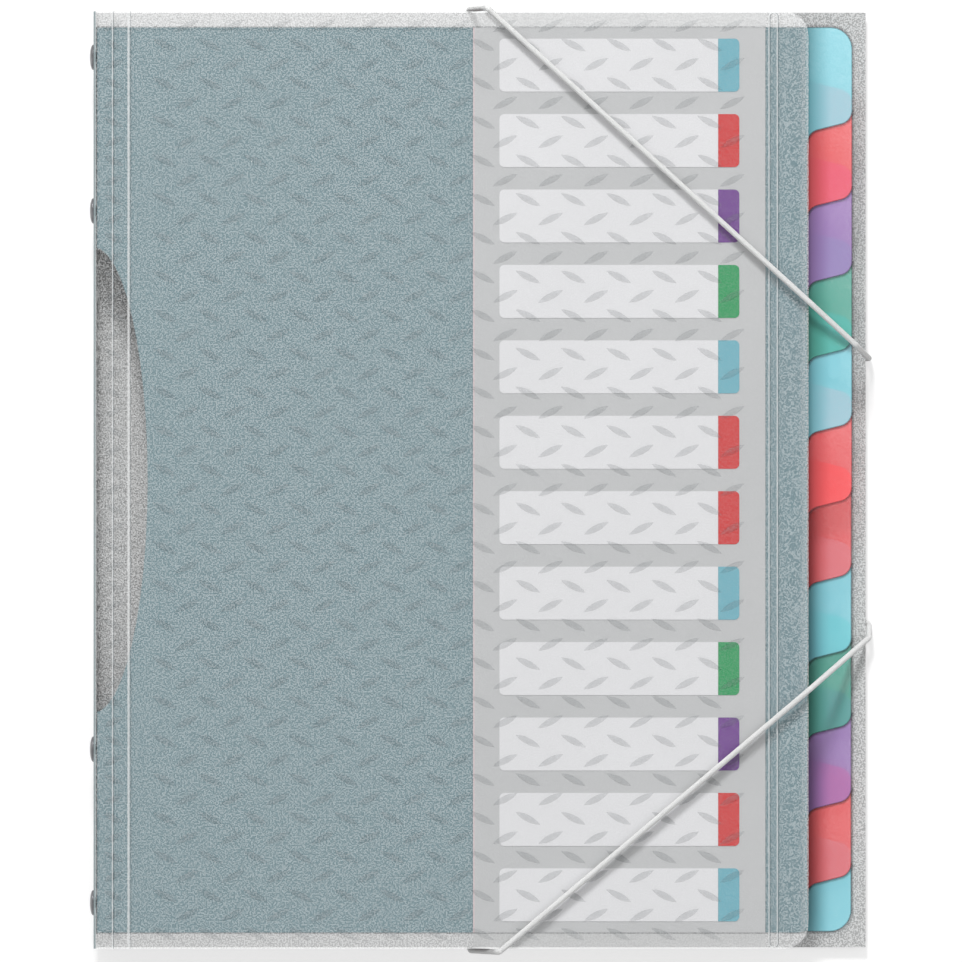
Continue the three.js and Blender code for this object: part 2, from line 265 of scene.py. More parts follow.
class SharedEffects:
    """Shader groups that several finishes use."""

    def __init__(self) -> None:
        """Builds each group once."""
        self.grain = self.pebble_grain()
        self.haze = self.sheet_haze()

    @staticmethod
    def noise(nodes: Nodes, start: bpy.types.Node) -> bpy.types.NodeSocket:
        """Adds smooth noise at a group's own Size.

        Args:
            nodes: the group's nodes.
            start: its input node, with Coordinates in metres and Size in millimetres.

        Returns:
            The noise, from 0 to 1.
        """
        noise = nodes.add("ShaderNodeTexNoise")
        noise.inputs["Detail"].default_value = 0.0
        nodes.link(start.outputs["Coordinates"], noise.inputs["Vector"])
        nodes.link(nodes.math("DIVIDE", 1 / MM, start.outputs["Size"]), noise.inputs["Scale"])
        return noise.outputs["Fac"]

    def pebble_grain(self) -> bpy.types.NodeTree:
        """Fine pebble grain of calendered film: a height and a speck mask."""
        tree, nodes, start, end = new_group("pebble grain", {"Size": 0.8}, ("Height", "Specks"))
        cells = self.noise(nodes, start)
        nodes.link(cells, end.inputs["Height"])
        nodes.link(nodes.ramp(cells, 0.42, 0.58, 0.0, 1.0), end.inputs["Specks"])
        return tree

    def sheet_haze(self) -> bpy.types.NodeTree:
        """Slow cloudiness of a large sheet, from 0 to 1."""
        tree, nodes, start, end = new_group("sheet haze", {"Size": 60.0}, ("Mask",))
        clouds = self.noise(nodes, start)
        nodes.link(nodes.ramp(clouds, 0.3, 0.7, 0.0, 1.0), end.inputs["Mask"])
        return tree


class Finish:
    """A Principled material that reads Object coordinates."""

    def __init__(self, name: str) -> None:
        """Makes an empty material with its shader and coordinates."""
        self.material = bpy.data.materials.new(name)
        self.material.use_nodes = True
        self.nodes = Nodes(self.material.node_tree)
        self.shader = self.material.node_tree.nodes["Principled BSDF"]
        place = self.nodes.add("ShaderNodeTexCoord")
        self.object = place.outputs["Object"]
        self.facing = place.outputs["Normal"]
        self.uv = place.outputs["UV"]

    def set(self, **values: object) -> None:
        """Sets plain inputs of the shader.

        Args:
            values: input name to value; an underscore stands for a space.
        """
        for name, value in values.items():
            self.shader.inputs[name.replace("_", " ")].default_value = value

    def drive(self, name: str, socket: bpy.types.NodeSocket) -> None:
        """Feeds one of the shader's inputs from a socket."""
        self.nodes.link(socket, self.shader.inputs[name])

    def group(self, tree: bpy.types.NodeTree, **values: float) -> bpy.types.Node:
        """Places a shared group in the material.

        Args:
            tree: the group.
            values: input name to value.

        Returns:
            The group's node.
        """
        node = self.nodes.add("ShaderNodeGroup", node_tree=tree)
        self.nodes.link(self.object, node.inputs["Coordinates"])
        for name, value in values.items():
            node.inputs[name].default_value = value
        return node

    def bump(self, height: bpy.types.NodeSocket, distance: float, strength: float) -> None:
        """Feeds the shader's normal from a height.

        Args:
            height: the height, from 0 to 1.
            distance: how high 1 is.
            strength: how strongly it is shown.
        """
        node = self.nodes.add("ShaderNodeBump")
        node.inputs["Distance"].default_value = distance
        node.inputs["Strength"].default_value = strength
        self.nodes.link(height, node.inputs["Height"])
        self.drive("Normal", node.outputs["Normal"])

    def see_through(self, opacity: bpy.types.NodeSocket, shadow: float) -> None:
        """Feeds the opacity of a sheet, counted once, on the face where a ray enters it.

        Args:
            opacity: how much of what lies behind the sheet is hidden.
            shadow: share of that opacity that also stops light, as film scatters much onwards.
        """
        side = self.nodes.add("ShaderNodeNewGeometry")
        rays = self.nodes.add("ShaderNodeLightPath")
        entering = self.nodes.math("SUBTRACT", 1.0, side.outputs["Backfacing"])
        lit = self.nodes.math("MULTIPLY", rays.outputs["Is Shadow Ray"], 1.0 - shadow)
        kept = self.nodes.math("MULTIPLY", entering, self.nodes.math("SUBTRACT", 1.0, lit))
        self.drive("Alpha", self.nodes.math("MULTIPLY", opacity, kept))

    def cut_edge(self) -> bpy.types.NodeSocket:
        """A mask that is 1 on a sheet's cut edges and 0 on its faces."""
        flat = self.nodes.math("ABSOLUTE", self.nodes.part(self.facing, "Z"))
        return self.nodes.ramp(flat, 0.3, 0.7, 1.0, 0.0)

    def upward(self) -> bpy.types.NodeSocket:
        """A mask that is 1 where a face looks up, even a little, and 0 on upright faces."""
        return self.nodes.ramp(self.nodes.part(self.facing, "Z"), 0.02, 0.1, 0.0, 1.0)

    def axis(self, name: str) -> bpy.types.NodeSocket:
        """The object coordinate along one axis, as a socket."""
        return self.nodes.part(self.object, name)


@dataclass(frozen=True, kw_only=True)
class CoverFilm:
    """Grey see-through film with a pebble grain, paler where no divider lies behind it."""

    effects: SharedEffects
    leaf_end: float
    soft_edge: float = 0.1 * MM
    thin_opacity: float = 0.14
    speck_swing: float = 0.5
    loose_opacity: float = 0.28
    cut_opacity: float = 0.45
    pale_share: float = 0.85
    shadow: float = 1.0
    grain_size: float = 0.5
    valley: Colour = linear(40, 46, 48)
    crest: Colour = linear(253, 254, 254)

    def loose(self, finish: Finish) -> bpy.types.NodeSocket:
        """A mask of the film's ends, which stand out past the dividers.

        Args:
            finish: the material's finish.

        Returns:
            The mask's socket.
        """
        up = finish.nodes.math("ABSOLUTE", finish.axis("Y"))
        return finish.nodes.ramp(up, self.leaf_end, self.leaf_end + 5 * self.soft_edge, 0.0, 1.0)

    def thin_film(
        self, finish: Finish, specks: bpy.types.NodeSocket, pale: bpy.types.NodeSocket
    ) -> tuple[bpy.types.NodeSocket, bpy.types.NodeSocket]:
        """The colour and the opacity of plain thin film.

        Args:
            finish: the material's finish.
            specks: the speck mask.
            pale: a mask of the paler places.

        Returns:
            The two sockets.
        """
        nodes = finish.nodes
        shade = nodes.mix(specks, self.valley, self.crest)
        colour = nodes.mix(nodes.math("MULTIPLY", pale, self.pale_share), shade, self.crest)
        least = self.thin_opacity * (1 - self.speck_swing)
        most = self.thin_opacity * (1 + self.speck_swing)
        return colour, nodes.ramp(specks, 0.0, 1.0, least, most)

    def densest(
        self, finish: Finish, *parts: tuple[bpy.types.NodeSocket, float]
    ) -> bpy.types.NodeSocket:
        """The largest of several masks, each times its own opacity, and the cut edges.

        Args:
            finish: the material's finish.
            parts: mask and opacity of each.

        Returns:
            The opacity's socket.
        """
        nodes = finish.nodes
        most = nodes.math("MULTIPLY", finish.cut_edge(), self.cut_opacity)
        for mask, opacity in parts:
            most = nodes.math("MAXIMUM", most, nodes.math("MULTIPLY", mask, opacity))
        return most


@dataclass(frozen=True, kw_only=True)
class FrontFilm(CoverFilm):
    """The front panel's film, thin all over, paler along its fore-edge as a painted highlight of
    the light on a curled edge.
    """

    fore_edge: float
    print_span: tuple[float, float]
    calm_share: float = 0.7
    painted_highlight_width: float = 3.4 * MM
    painted_highlight_opacity: float = 0.2

    def make(self) -> bpy.types.Material:
        """Builds the material."""
        finish = Finish("front cover film")
        nodes = finish.nodes
        across = finish.axis("X")
        specks = finish.group(self.effects.grain, Size=self.grain_size).outputs["Specks"]
        left, right = self.print_span
        past_left = nodes.ramp(across, left, left + self.soft_edge, 0.0, self.calm_share)
        short_of_right = nodes.ramp(across, right - self.soft_edge, right, 1.0, 0.0)
        calm = nodes.math("MULTIPLY", past_left, short_of_right)
        swing = nodes.math("MULTIPLY", nodes.math("SUBTRACT", specks, 0.5), calm)
        calmer = nodes.math("SUBTRACT", specks, swing)
        # Painted highlight: the last millimetres before the fore-edge turn paler and more opaque.
        painted_highlight = nodes.ramp(across, self.fore_edge - self.painted_highlight_width, self.fore_edge, 0.0, 1.0)
        loose = self.loose(finish)
        colour, film = self.thin_film(finish, calmer, nodes.math("MAXIMUM", painted_highlight, loose))
        finish.drive("Base Color", colour)
        lip = self.densest(finish, (painted_highlight, self.painted_highlight_opacity), (loose, self.loose_opacity))
        finish.see_through(nodes.math("ADD", film, lip), self.shadow)
        finish.drive("Roughness", nodes.ramp(specks, 0.0, 1.0, 0.36, 0.5))
        return finish.material


@dataclass(frozen=True, kw_only=True)
class BackFilm(CoverFilm):
    """The folded sheet's film: thin on the margin strip, dense where it backs the folder."""

    dense_below: float
    spine: float
    blend_height: float = 2 * MM
    wall_opacity: float = 0.95
    grain_depth: float = 0.12 * MM
    dense_valley: Colour = linear(160, 161, 161)
    dense_crest: Colour = linear(208, 209, 209)
    wall: Colour = linear(140, 155, 158)

    def make(self) -> bpy.types.Material:
        """Builds the material."""
        finish = Finish("back cover film")
        nodes = finish.nodes
        grain = finish.group(self.effects.grain, Size=self.grain_size)
        specks = grain.outputs["Specks"]
        level = self.dense_below
        thin = nodes.ramp(finish.axis("Z"), level, level + self.blend_height, 0.0, 1.0)
        loose = nodes.math("MULTIPLY", self.loose(finish), thin)
        over_wall = nodes.math("MULTIPLY", self.over_wall(finish), thin)
        thin_colour, thickest = self.thin_film(finish, specks, loose)
        dense = nodes.mix(specks, self.dense_valley, self.dense_crest)
        shade = nodes.mix(thin, dense, thin_colour)
        finish.drive("Base Color", nodes.mix(over_wall, shade, self.wall))
        loss = nodes.math("MULTIPLY", thin, nodes.math("SUBTRACT", 1.0, thickest))
        lip = self.densest(finish, (loose, self.loose_opacity))
        whole = nodes.math("ADD", nodes.math("SUBTRACT", 1.0, loss), lip)
        down_wall = nodes.math("MULTIPLY", over_wall, self.wall_opacity)
        finish.see_through(nodes.math("MAXIMUM", whole, down_wall), self.shadow)
        finish.drive("Roughness", nodes.ramp(specks, 0.0, 1.0, 0.36, 0.5))
        finish.bump(grain.outputs["Height"], self.grain_depth, 0.6)
        return finish.material

    def over_wall(self, finish: Finish) -> bpy.types.NodeSocket:
        """A mask of the rounded edge above the spine's wall, where a view runs down the film.

        Args:
            finish: the material's finish.

        Returns:
            The mask's socket.
        """
        inside = self.spine + COVER_SHEET
        half = self.soft_edge / 2
        outer = finish.nodes.ramp(finish.axis("X"), inside - half, inside + half, 1.0, 0.0)
        return finish.nodes.math("MULTIPLY", outer, finish.upward())


@dataclass(frozen=True)
class StretchedFilmAndPaintedShade:
    """Cover film that was pressed or scored: the whitened film of a crease, and the dark film that
    paints the shade of a pressed mark and of a score's furrow.
    """

    effects: SharedEffects
    name: str
    colour: Colour
    opacity: float
    opacity_swing: float = 0.1
    bloom: Colour = linear(215, 218, 219)
    bloom_share: float = 0.15
    shadow: float = 0.5

    def make(self) -> bpy.types.Material:
        """Builds the material."""
        finish = Finish(self.name)
        nodes = finish.nodes
        cloudy = finish.group(self.effects.haze, Size=1.6).outputs["Mask"]
        amount = nodes.math("MULTIPLY", cloudy, self.bloom_share)
        finish.drive("Base Color", nodes.mix(amount, self.colour, self.bloom))
        least = self.opacity * (1 - self.opacity_swing)
        most = self.opacity * (1 + self.opacity_swing)
        finish.see_through(nodes.ramp(cloudy, 0.0, 1.0, least, most), self.shadow)
        finish.drive("Roughness", nodes.ramp(cloudy, 0.0, 1.0, 0.32, 0.42))
        return finish.material


@dataclass(frozen=True)
class TabEdgePaintedShadow:
    """A painted shadow along a tab's cut edge: darkest at the edge, fading outwards over the sheet
    below.
    """

    effects: SharedEffects
    colour: Colour = linear(52, 50, 54)
    opacity: float = 0.8

    def make(self) -> bpy.types.Material:
        """Builds the material."""
        finish = Finish("tab edge painted shadow")
        nodes = finish.nodes
        cloudy = finish.group(self.effects.haze, Size=6.0).outputs["Mask"]
        tone = nodes.ramp(cloudy, 0.0, 1.0, 0.0, 0.12)
        finish.drive("Base Color", nodes.mix(tone, self.colour, scaled(self.colour, 1.6)))
        outwards = nodes.part(finish.uv, "X")
        # The painted shadow is darkest at the edge and fades to nothing at its outer side.
        finish.see_through(nodes.ramp(outwards, 0.0, 1.0, self.opacity, 0.0), 0.0)
        finish.set(Roughness=0.8, Specular_IOR_Level=0.1)
        return finish.material


@dataclass(frozen=True)
class LeafFilm:
    """Tinted film: clear colour on the tab, greyer where the other leaves lie under it, and darker
    towards the tab's root by the cover's edge, a painted shadow of the cover.
    """

    effects: SharedEffects
    tint: Tint
    body_edge: float
    opacity: float = 0.64
    shadow: float = 0.5
    tab_start: float = 1.5 * MM
    tab_full: float = 0.5 * MM
    # The tab's root carries a painted shadow: its width, its darkest share and its opacity there.
    root_shadow_width: float = 7.8 * MM
    root_painted_shadow: float = 0.32
    root_shadow_opacity: float = 0.92
    tint_share: float = 0.15
    backing: Colour = linear(155, 155, 155)
    stack_grey: Colour = linear(120, 124, 127)

    def make(self) -> bpy.types.Material:
        """Builds the material."""
        finish = Finish(f"{self.tint.name.lower()} leaf film")
        nodes = finish.nodes
        across = finish.axis("X")
        cloudy = finish.group(self.effects.haze, Size=45.0).outputs["Mask"]
        tab = self.tab_colour()
        edge = self.body_edge
        on_tab = nodes.ramp(across, edge - self.tab_start, edge - self.tab_full, 0.0, 1.0)
        # Painted shadow: the tab is darkest and most opaque at its root, clearing outwards.
        root_shadow = nodes.ramp(across, edge, edge + self.root_shadow_width, 1.0, 0.0)
        film = nodes.mix(root_shadow, tab, scaled(tab, self.root_painted_shadow))
        film = nodes.mix(nodes.ramp(cloudy, 0.0, 1.0, 0.0, 0.1), film, scaled(tab, 0.85))
        finish.drive("Base Color", nodes.mix(on_tab, self.body_colour(tab), film))
        tab_opacity = nodes.ramp(root_shadow, 0.0, 1.0, self.opacity, self.root_shadow_opacity)
        beside = nodes.math("SUBTRACT", 1.0, on_tab)
        finish.see_through(nodes.math("MAXIMUM", tab_opacity, beside), self.shadow)
        finish.drive("Roughness", nodes.ramp(cloudy, 0.0, 1.0, 0.5, 0.62))
        finish.set(Specular_IOR_Level=0.3)
        return finish.material

    def tab_colour(self) -> Colour:
        """The film's own colour, with which a tab on its grey backing reads as the tint."""
        through = 1 - self.opacity
        red, green, blue = (
            max(0.01, (shown - through * behind) / self.opacity)
            for shown, behind in zip(linear(*self.tint.value)[:3], self.backing[:3])
        )
        return (red, green, blue, 1.0)

    def body_colour(self, tab: Colour) -> Colour:
        """The sheet's colour over the whole stack: grey with a little of the tab's colour."""
        red, green, blue = (
            self.tint_share * own + (1 - self.tint_share) * grey
            for own, grey in zip(tab[:3], self.stack_grey[:3])
        )
        return (red, green, blue, 1.0)


@dataclass(frozen=True)
class PrintAndPaintedHighlight:
    """Flat print or printed film in one colour, with a faint mottle of the ink; also the painted
    highlight on the label's edge.
    """

    effects: SharedEffects
    name: str
    colour: Colour
    mottle: float = 0.05

    def make(self) -> bpy.types.Material:
        """Builds the material."""
        finish = Finish(self.name)
        nodes = finish.nodes
        cloudy = finish.group(self.effects.haze, Size=30.0).outputs["Mask"]
        amount = nodes.math("MULTIPLY", cloudy, self.mottle)
        finish.drive("Base Color", nodes.mix(amount, self.colour, scaled(self.colour, 0.8)))
        finish.drive("Roughness", nodes.ramp(cloudy, 0.0, 1.0, 0.5, 0.62))
        finish.set(Specular_IOR_Level=0.25)
        return finish.material


@dataclass(frozen=True)
class Steel:
    """Plated steel with fine drawn lines and darker, rougher patches."""

    effects: SharedEffects
    name: str
    colour: Colour
    roughness: float = 0.26
    line_swing: float = 0.16
    line_stretch: Point = (9000.0, 500.0, 500.0)
    line_depth: float = 0.02 * MM

    def make(self) -> bpy.types.Material:
        """Builds the material."""
        finish = Finish(self.name)
        nodes = finish.nodes
        finish.set(Metallic=1.0)
        cloudy = finish.group(self.effects.haze, Size=3.0).outputs["Mask"]
        stretch = nodes.add("ShaderNodeMapping")
        stretch.inputs["Scale"].default_value = self.line_stretch
        nodes.link(finish.object, stretch.inputs["Vector"])
        noise = nodes.add("ShaderNodeTexNoise")
        noise.inputs["Scale"].default_value = 1.0
        nodes.link(stretch.outputs["Vector"], noise.inputs["Vector"])
        lines = noise.outputs["Fac"]
        worn = nodes.ramp(cloudy, 0.2, 0.9, 0.0, 0.5)
        finish.drive("Base Color", nodes.mix(worn, self.colour, scaled(self.colour, 0.55)))
        roughest = self.roughness + self.line_swing
        finish.drive("Roughness", nodes.ramp(lines, 0.3, 0.7, self.roughness, roughest))
        finish.bump(lines, self.line_depth, 0.35)
        return finish.material


@dataclass(frozen=True)
class Braid:
    """Braided cover of a round elastic, laid out on the cord's own UV map."""

    strands: int = 12
    lay: float = 2.2

    def make(self) -> bpy.types.Material:
        """Builds the material."""
        finish = Finish("braided elastic")
        nodes = finish.nodes
        around = nodes.math("MULTIPLY", nodes.part(finish.uv, "X"), float(self.strands))
        turns = float(self.strands) / self.lay
        along = nodes.math("MULTIPLY", nodes.part(finish.uv, "Y"), turns)
        waves = []
        for operation in ("ADD", "SUBTRACT"):
            phase = nodes.math(operation, around, along)
            wave = nodes.math("SINE", nodes.math("MULTIPLY", phase, math.pi))
            waves.append(nodes.math("ABSOLUTE", wave))
        weave = nodes.math("MULTIPLY", waves[0], waves[1])
        dark, light = linear(188, 190, 190), linear(248, 248, 247)
        finish.drive("Base Color", nodes.mix(nodes.ramp(weave, 0.0, 0.45, 0.0, 1.0), dark, light))
        finish.drive("Roughness", nodes.ramp(weave, 0.0, 1.0, 0.85, 0.65))
        finish.bump(weave, 0.12 * MM, 0.9)
        return finish.material


class Palette:
    """Every finish of the folder, made once."""

    def __init__(self, sizes: "FolderSizes") -> None:
        """Builds the materials that need the folder's own levels and edges."""
        effects = SharedEffects()
        self.front_cover = FrontFilm(
            effects=effects,
            leaf_end=sizes.leaf_end,
            fore_edge=sizes.front_edge,
            print_span=(sizes.label[0].x, sizes.label[1].x),
        ).make()
        self.back_cover = BackFilm(
            effects=effects,
            leaf_end=sizes.leaf_end,
            dense_below=sizes.mid_level,
            spine=sizes.spine,
        ).make()
        dark, white = linear(84, 94, 98), linear(244, 246, 246)
        # The pressed marks' darker tint is painted shade of their relief.
        self.mark = StretchedFilmAndPaintedShade(effects, "pressed mark", dark, 0.19).make()
        self.crease = StretchedFilmAndPaintedShade(effects, "whitened crease", white, 0.55).make()
        # The furrows are painted shadow: dark film laid flat beside each crease, where the score's
        # groove lies in shade.
        self.furrow_shadow = StretchedFilmAndPaintedShade(effects, "crease furrow", dark, 0.4).make()
        # The painted shadow along each tab's cut edge.
        self.tab_edge_shadow = TabEdgePaintedShadow(effects).make()
        self.leaf = {tint: LeafFilm(effects, tint, sizes.front_edge).make() for tint in Tint}
        self.label = PrintAndPaintedHighlight(effects, "label film", linear(194, 195, 196), 0.14).make()
        self.field = PrintAndPaintedHighlight(effects, "white field", linear(226, 226, 228), 0.1).make()
        # A painted highlight on the label's spine-side edge.
        self.edge_highlight = PrintAndPaintedHighlight(effects, "label border", linear(214, 196, 198), 0.03).make()
        self.chip = {
            tint: PrintAndPaintedHighlight(effects, f"{tint.name.lower()} chip", linear(*colour)).make()
            for tint, colour in CHIP_COLOURS.items()
        }
        self.rivet = Steel(effects, "rivet steel", (0.2, 0.2, 0.21, 1.0)).make()
        self.tag = Steel(effects, "tag steel", (0.5, 0.5, 0.51, 1.0), 0.32).make()
        self.elastic = Braid().make()


@dataclass
class FolderSizes:
    """Levels and edges of the folder, read from the frame's nodes."""

    back: tuple[Vector, Vector]
    front: tuple[Vector, Vector]
    label: tuple[Vector, Vector]
    tab_tip: float
    leaf_end: float
    leaf_top: dict[int, float] = field(default_factory=dict)

    @classmethod
    def read(cls) -> "FolderSizes":
        """Measures the frame."""

        def corners(node: str) -> tuple[Vector, Vector]:
            """Lowest and highest corner of a node."""
            low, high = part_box(node)
            return Vector(low), Vector(high)

        sizes = cls(corners("cover_back"), corners("cover_front"), corners("index_label"), 0.0, 0.0)
        for number in range(1, len(TAB_ORDER) + 1):
            low, high = corners(f"leaf_{number:02d}")
            upper = number <= len(TAB_ORDER) // 2
            sizes.leaf_top[number] = high.z if upper else low.z + LEAF_SHEET
            sizes.tab_tip = high.x
            sizes.leaf_end = high.y
        return sizes

    @property
    def spine(self) -> float:
        """X of the spine's outer face."""
        return self.back[0].x

    @property
    def back_edge(self) -> float:
        """X of the back cover's fore-edge."""
        return self.back[1].x

    @property
    def front_edge(self) -> float:
        """X of the front cover's fore-edge."""
        return self.front[1].x

    @property
    def half_height(self) -> float:
        """Half the cover's height."""
        return self.back[1].y

    @property
    def under(self) -> float:
        """Z of the back cover's underside."""
        return self.back[0].z

    @property
    def top(self) -> float:
        """Z of the cover's top face."""
        return self.back[1].z

    @property
    def mid_level(self) -> float:
        """Z half way up the spine."""
        return (self.under + self.top) / 2


def mesh_object(name: str, mesh: bpy.types.Mesh) -> bpy.types.Object:
    """Puts a mesh into the scene as a named object at the origin."""
    made = bpy.data.objects.new(name, mesh)
    bpy.context.scene.collection.objects.link(made)
    return made


def bmesh_object(name: str, shape: bmesh.types.BMesh, smooth: bool = False) -> bpy.types.Object:
    """Makes an object of a bmesh and frees it.

    Args:
        name: the piece's name.
        shape: the geometry.
        smooth: whether its faces are shaded smooth.

    Returns:
        The new object.
    """
    bmesh.ops.recalc_face_normals(shape, faces=shape.faces)
    for face in shape.faces:
        face.smooth = smooth
    mesh = bpy.data.meshes.new(name)
    shape.to_mesh(mesh)
    shape.free()
    return mesh_object(name, mesh)


def ride(piece: bpy.types.Object, body: Body, *replaced: str) -> None:
    """Fastens a piece to a body, and hides the nodes that it is shown in place of.

    Args:
        piece: the piece.
        body: the body that it rides on.
        replaced: the CAD nodes in whose place it is shown.
    """
    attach(piece, body.value)
    if replaced:
        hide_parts(*replaced)
    LOG.info("%s rides on %s, %d faces", piece.name, body.value, len(piece.data.polygons))


def bake_nodes(piece: bpy.types.Object) -> bpy.types.Object:
    """Turns a Geometry Nodes result into a plain mesh and drops the modifier.

    Args:
        piece: the object with the modifier.

    Returns:
        The same object.
    """
    graph = bpy.context.evaluated_depsgraph_get()
    mesh = bpy.data.meshes.new_from_object(piece.evaluated_get(graph))
    piece.modifiers.clear()
    piece.data = mesh
    return piece


class GeometryTree:
    """A Geometry Nodes tree with named inputs, run on an empty mesh and baked."""

    def __init__(self, name: str, inputs: dict[str, tuple[str, object]]) -> None:
        """Makes the tree's sockets.

        Args:
            name: the tree's name.
            inputs: input name to socket type and value.
        """
        self.tree = bpy.data.node_groups.new(name, "GeometryNodeTree")
        self.tree.interface.new_socket(
            "Geometry", in_out="OUTPUT", socket_type="NodeSocketGeometry"
        )
        self.values = {}
        for key, (kind, value) in inputs.items():
            socket = self.tree.interface.new_socket(key, in_out="INPUT", socket_type=kind)
            self.values[socket.identifier] = value
        self.nodes = Nodes(self.tree)
        self.start = self.nodes.add("NodeGroupInput")
        self.end = self.nodes.add("NodeGroupOutput")

    def finish(self, geometry: bpy.types.NodeSocket, material: bpy.types.Material) -> None:
        """Ends the tree in Realize Instances and Set Material.

        Args:
            geometry: what the tree has made.
            material: its finish.
        """
        real = self.nodes.add("GeometryNodeRealizeInstances")
        dress = self.nodes.add("GeometryNodeSetMaterial")
        dress.inputs["Material"].default_value = material
        self.nodes.link(geometry, real.inputs[0])
        self.nodes.link(real.outputs[0], dress.inputs["Geometry"])
        self.nodes.link(dress.outputs[0], self.end.inputs[0])

    def run(self, name: str) -> bpy.types.Object:
        """Runs the tree.

        Args:
            name: the piece's name.

        Returns:
            The result as a plain object.
        """
        piece = mesh_object(name, bpy.data.meshes.new(name))
        modifier = piece.modifiers.new("build", "NODES")
        modifier.node_group = self.tree
        for identifier, value in self.values.items():
            modifier[identifier] = value
        return bake_nodes(piece)


@dataclass
class PressedPattern:
    """Lens-shaped pressed marks over the cover, tilted one way and the other row by row: a low real
    relief, tinted darker as painted shade.
    """

    sizes: FolderSizes
    palette: Palette
    across: float = 15.5 * MM
    rows: float = 6.6 * MM
    length: float = 9.6 * MM
    width: float = 2.3 * MM
    relief: float = 0.11 * MM
    tilt: float = math.radians(27)
    edge_margin: float = 2.2 * MM
    sink: float = 0.02 * MM
    lens_steps: int = 9

    def lens(self, length: float) -> bpy.types.Object:
        """One mark: a long low blister with pointed ends.

        Args:
            length: how long it is, point to point.

        Returns:
            The mark, centred, with its middle on the cover's face.
        """
        shape = bmesh.new()
        steps = self.lens_steps
        rims = ([], [])
        ridge = []
        for step in range(steps + 1):
            along = step / steps * 2 - 1
            half = self.width / 2 * (1 - along * along)
            x = along * length / 2
            if 0 < step < steps:
                for rim, side in zip(rims, (-1, 1)):
                    rim.append(shape.verts.new((x, side * half, -self.sink)))
                ridge.append(shape.verts.new((x, 0.0, self.relief * math.sqrt(1 - along * along))))
        first = shape.verts.new((-length / 2, 0.0, -self.sink))
        last = shape.verts.new((length / 2, 0.0, -self.sink))
        for rim in rims:
            shape.faces.new((first, rim[0], ridge[0]))
            shape.faces.new((last, rim[-1], ridge[-1]))
            for here, there in zip(range(len(rim) - 1), range(1, len(rim))):
                shape.faces.new((rim[here], rim[there], ridge[there], ridge[here]))
        shape.faces.new([first, *rims[0], last, *reversed(rims[1])])
        return bmesh_object("lens", shape, smooth=True)

    def field(self, name: str, left: float, right: float, length: float) -> bpy.types.Object:
        """Covers a stretch of the face with marks.

        Args:
            name: the piece's name.
            left: X of the stretch's spine side.
            right: X of its fore-edge side.
            length: length of one mark.

        Returns:
            The marks as one mesh.
        """
        lens = self.lens(length)
        lens.data.materials.append(self.palette.mark)
        reach = length / 2 * math.cos(self.tilt)
        span = right - left - 2 * reach - self.across / 2
        columns = max(1, int(span / self.across) + 1)
        height = 2 * (self.sizes.half_height - self.edge_margin) - length * math.sin(self.tilt)
        rows = int(height / self.rows) + 1
        tree = GeometryTree(
            name,
            {
                "Across": ("NodeSocketFloat", self.across),
                "Rows": ("NodeSocketFloat", self.rows),
                "Tilt": ("NodeSocketFloat", self.tilt),
            },
        )
        nodes, start = tree.nodes, tree.start
        grid = nodes.add("GeometryNodeMeshGrid")
        grid.inputs["Vertices X"].default_value = columns
        grid.inputs["Vertices Y"].default_value = rows
        wide = nodes.math("MULTIPLY", start.outputs["Across"], float(columns - 1))
        high = nodes.math("MULTIPLY", start.outputs["Rows"], float(rows - 1))
        nodes.link(wide, grid.inputs["Size X"])
        nodes.link(high, grid.inputs["Size Y"])
        index = nodes.add("GeometryNodeInputIndex")
        row = nodes.math("MODULO", index.outputs[0], float(rows))
        odd = nodes.math("MODULO", row, 2.0)
        shift = nodes.math("MULTIPLY", odd, nodes.math("MULTIPLY", start.outputs["Across"], 0.5))
        centre = (left + right - self.across / 2) / 2 if columns > 1 else (left + right) / 2
        step = nodes.add("ShaderNodeCombineXYZ")
        moved = nodes.math("ADD", shift, centre) if columns > 1 else centre
        nodes.fill(step, "X", moved)
        step.inputs["Z"].default_value = self.sizes.top
        place = nodes.add("GeometryNodeSetPosition")
        nodes.link(grid.outputs["Mesh"], place.inputs["Geometry"])
        nodes.link(step.outputs[0], place.inputs["Offset"])
        source = nodes.add("GeometryNodeObjectInfo")
        source.inputs["Object"].default_value = lens
        lean = nodes.math("MULTIPLY", nodes.math("SUBTRACT", odd, 0.5), 2.0)
        turn = nodes.add("ShaderNodeCombineXYZ")
        nodes.link(nodes.math("MULTIPLY", lean, start.outputs["Tilt"]), turn.inputs["Z"])
        many = nodes.add("GeometryNodeInstanceOnPoints")
        nodes.link(place.outputs[0], many.inputs["Points"])
        nodes.link(source.outputs["Geometry"], many.inputs["Instance"])
        nodes.link(turn.outputs[0], many.inputs["Rotation"])
        tree.finish(many.outputs[0], self.palette.mark)
        piece = tree.run(name)
        bpy.data.objects.remove(lens)
        return piece


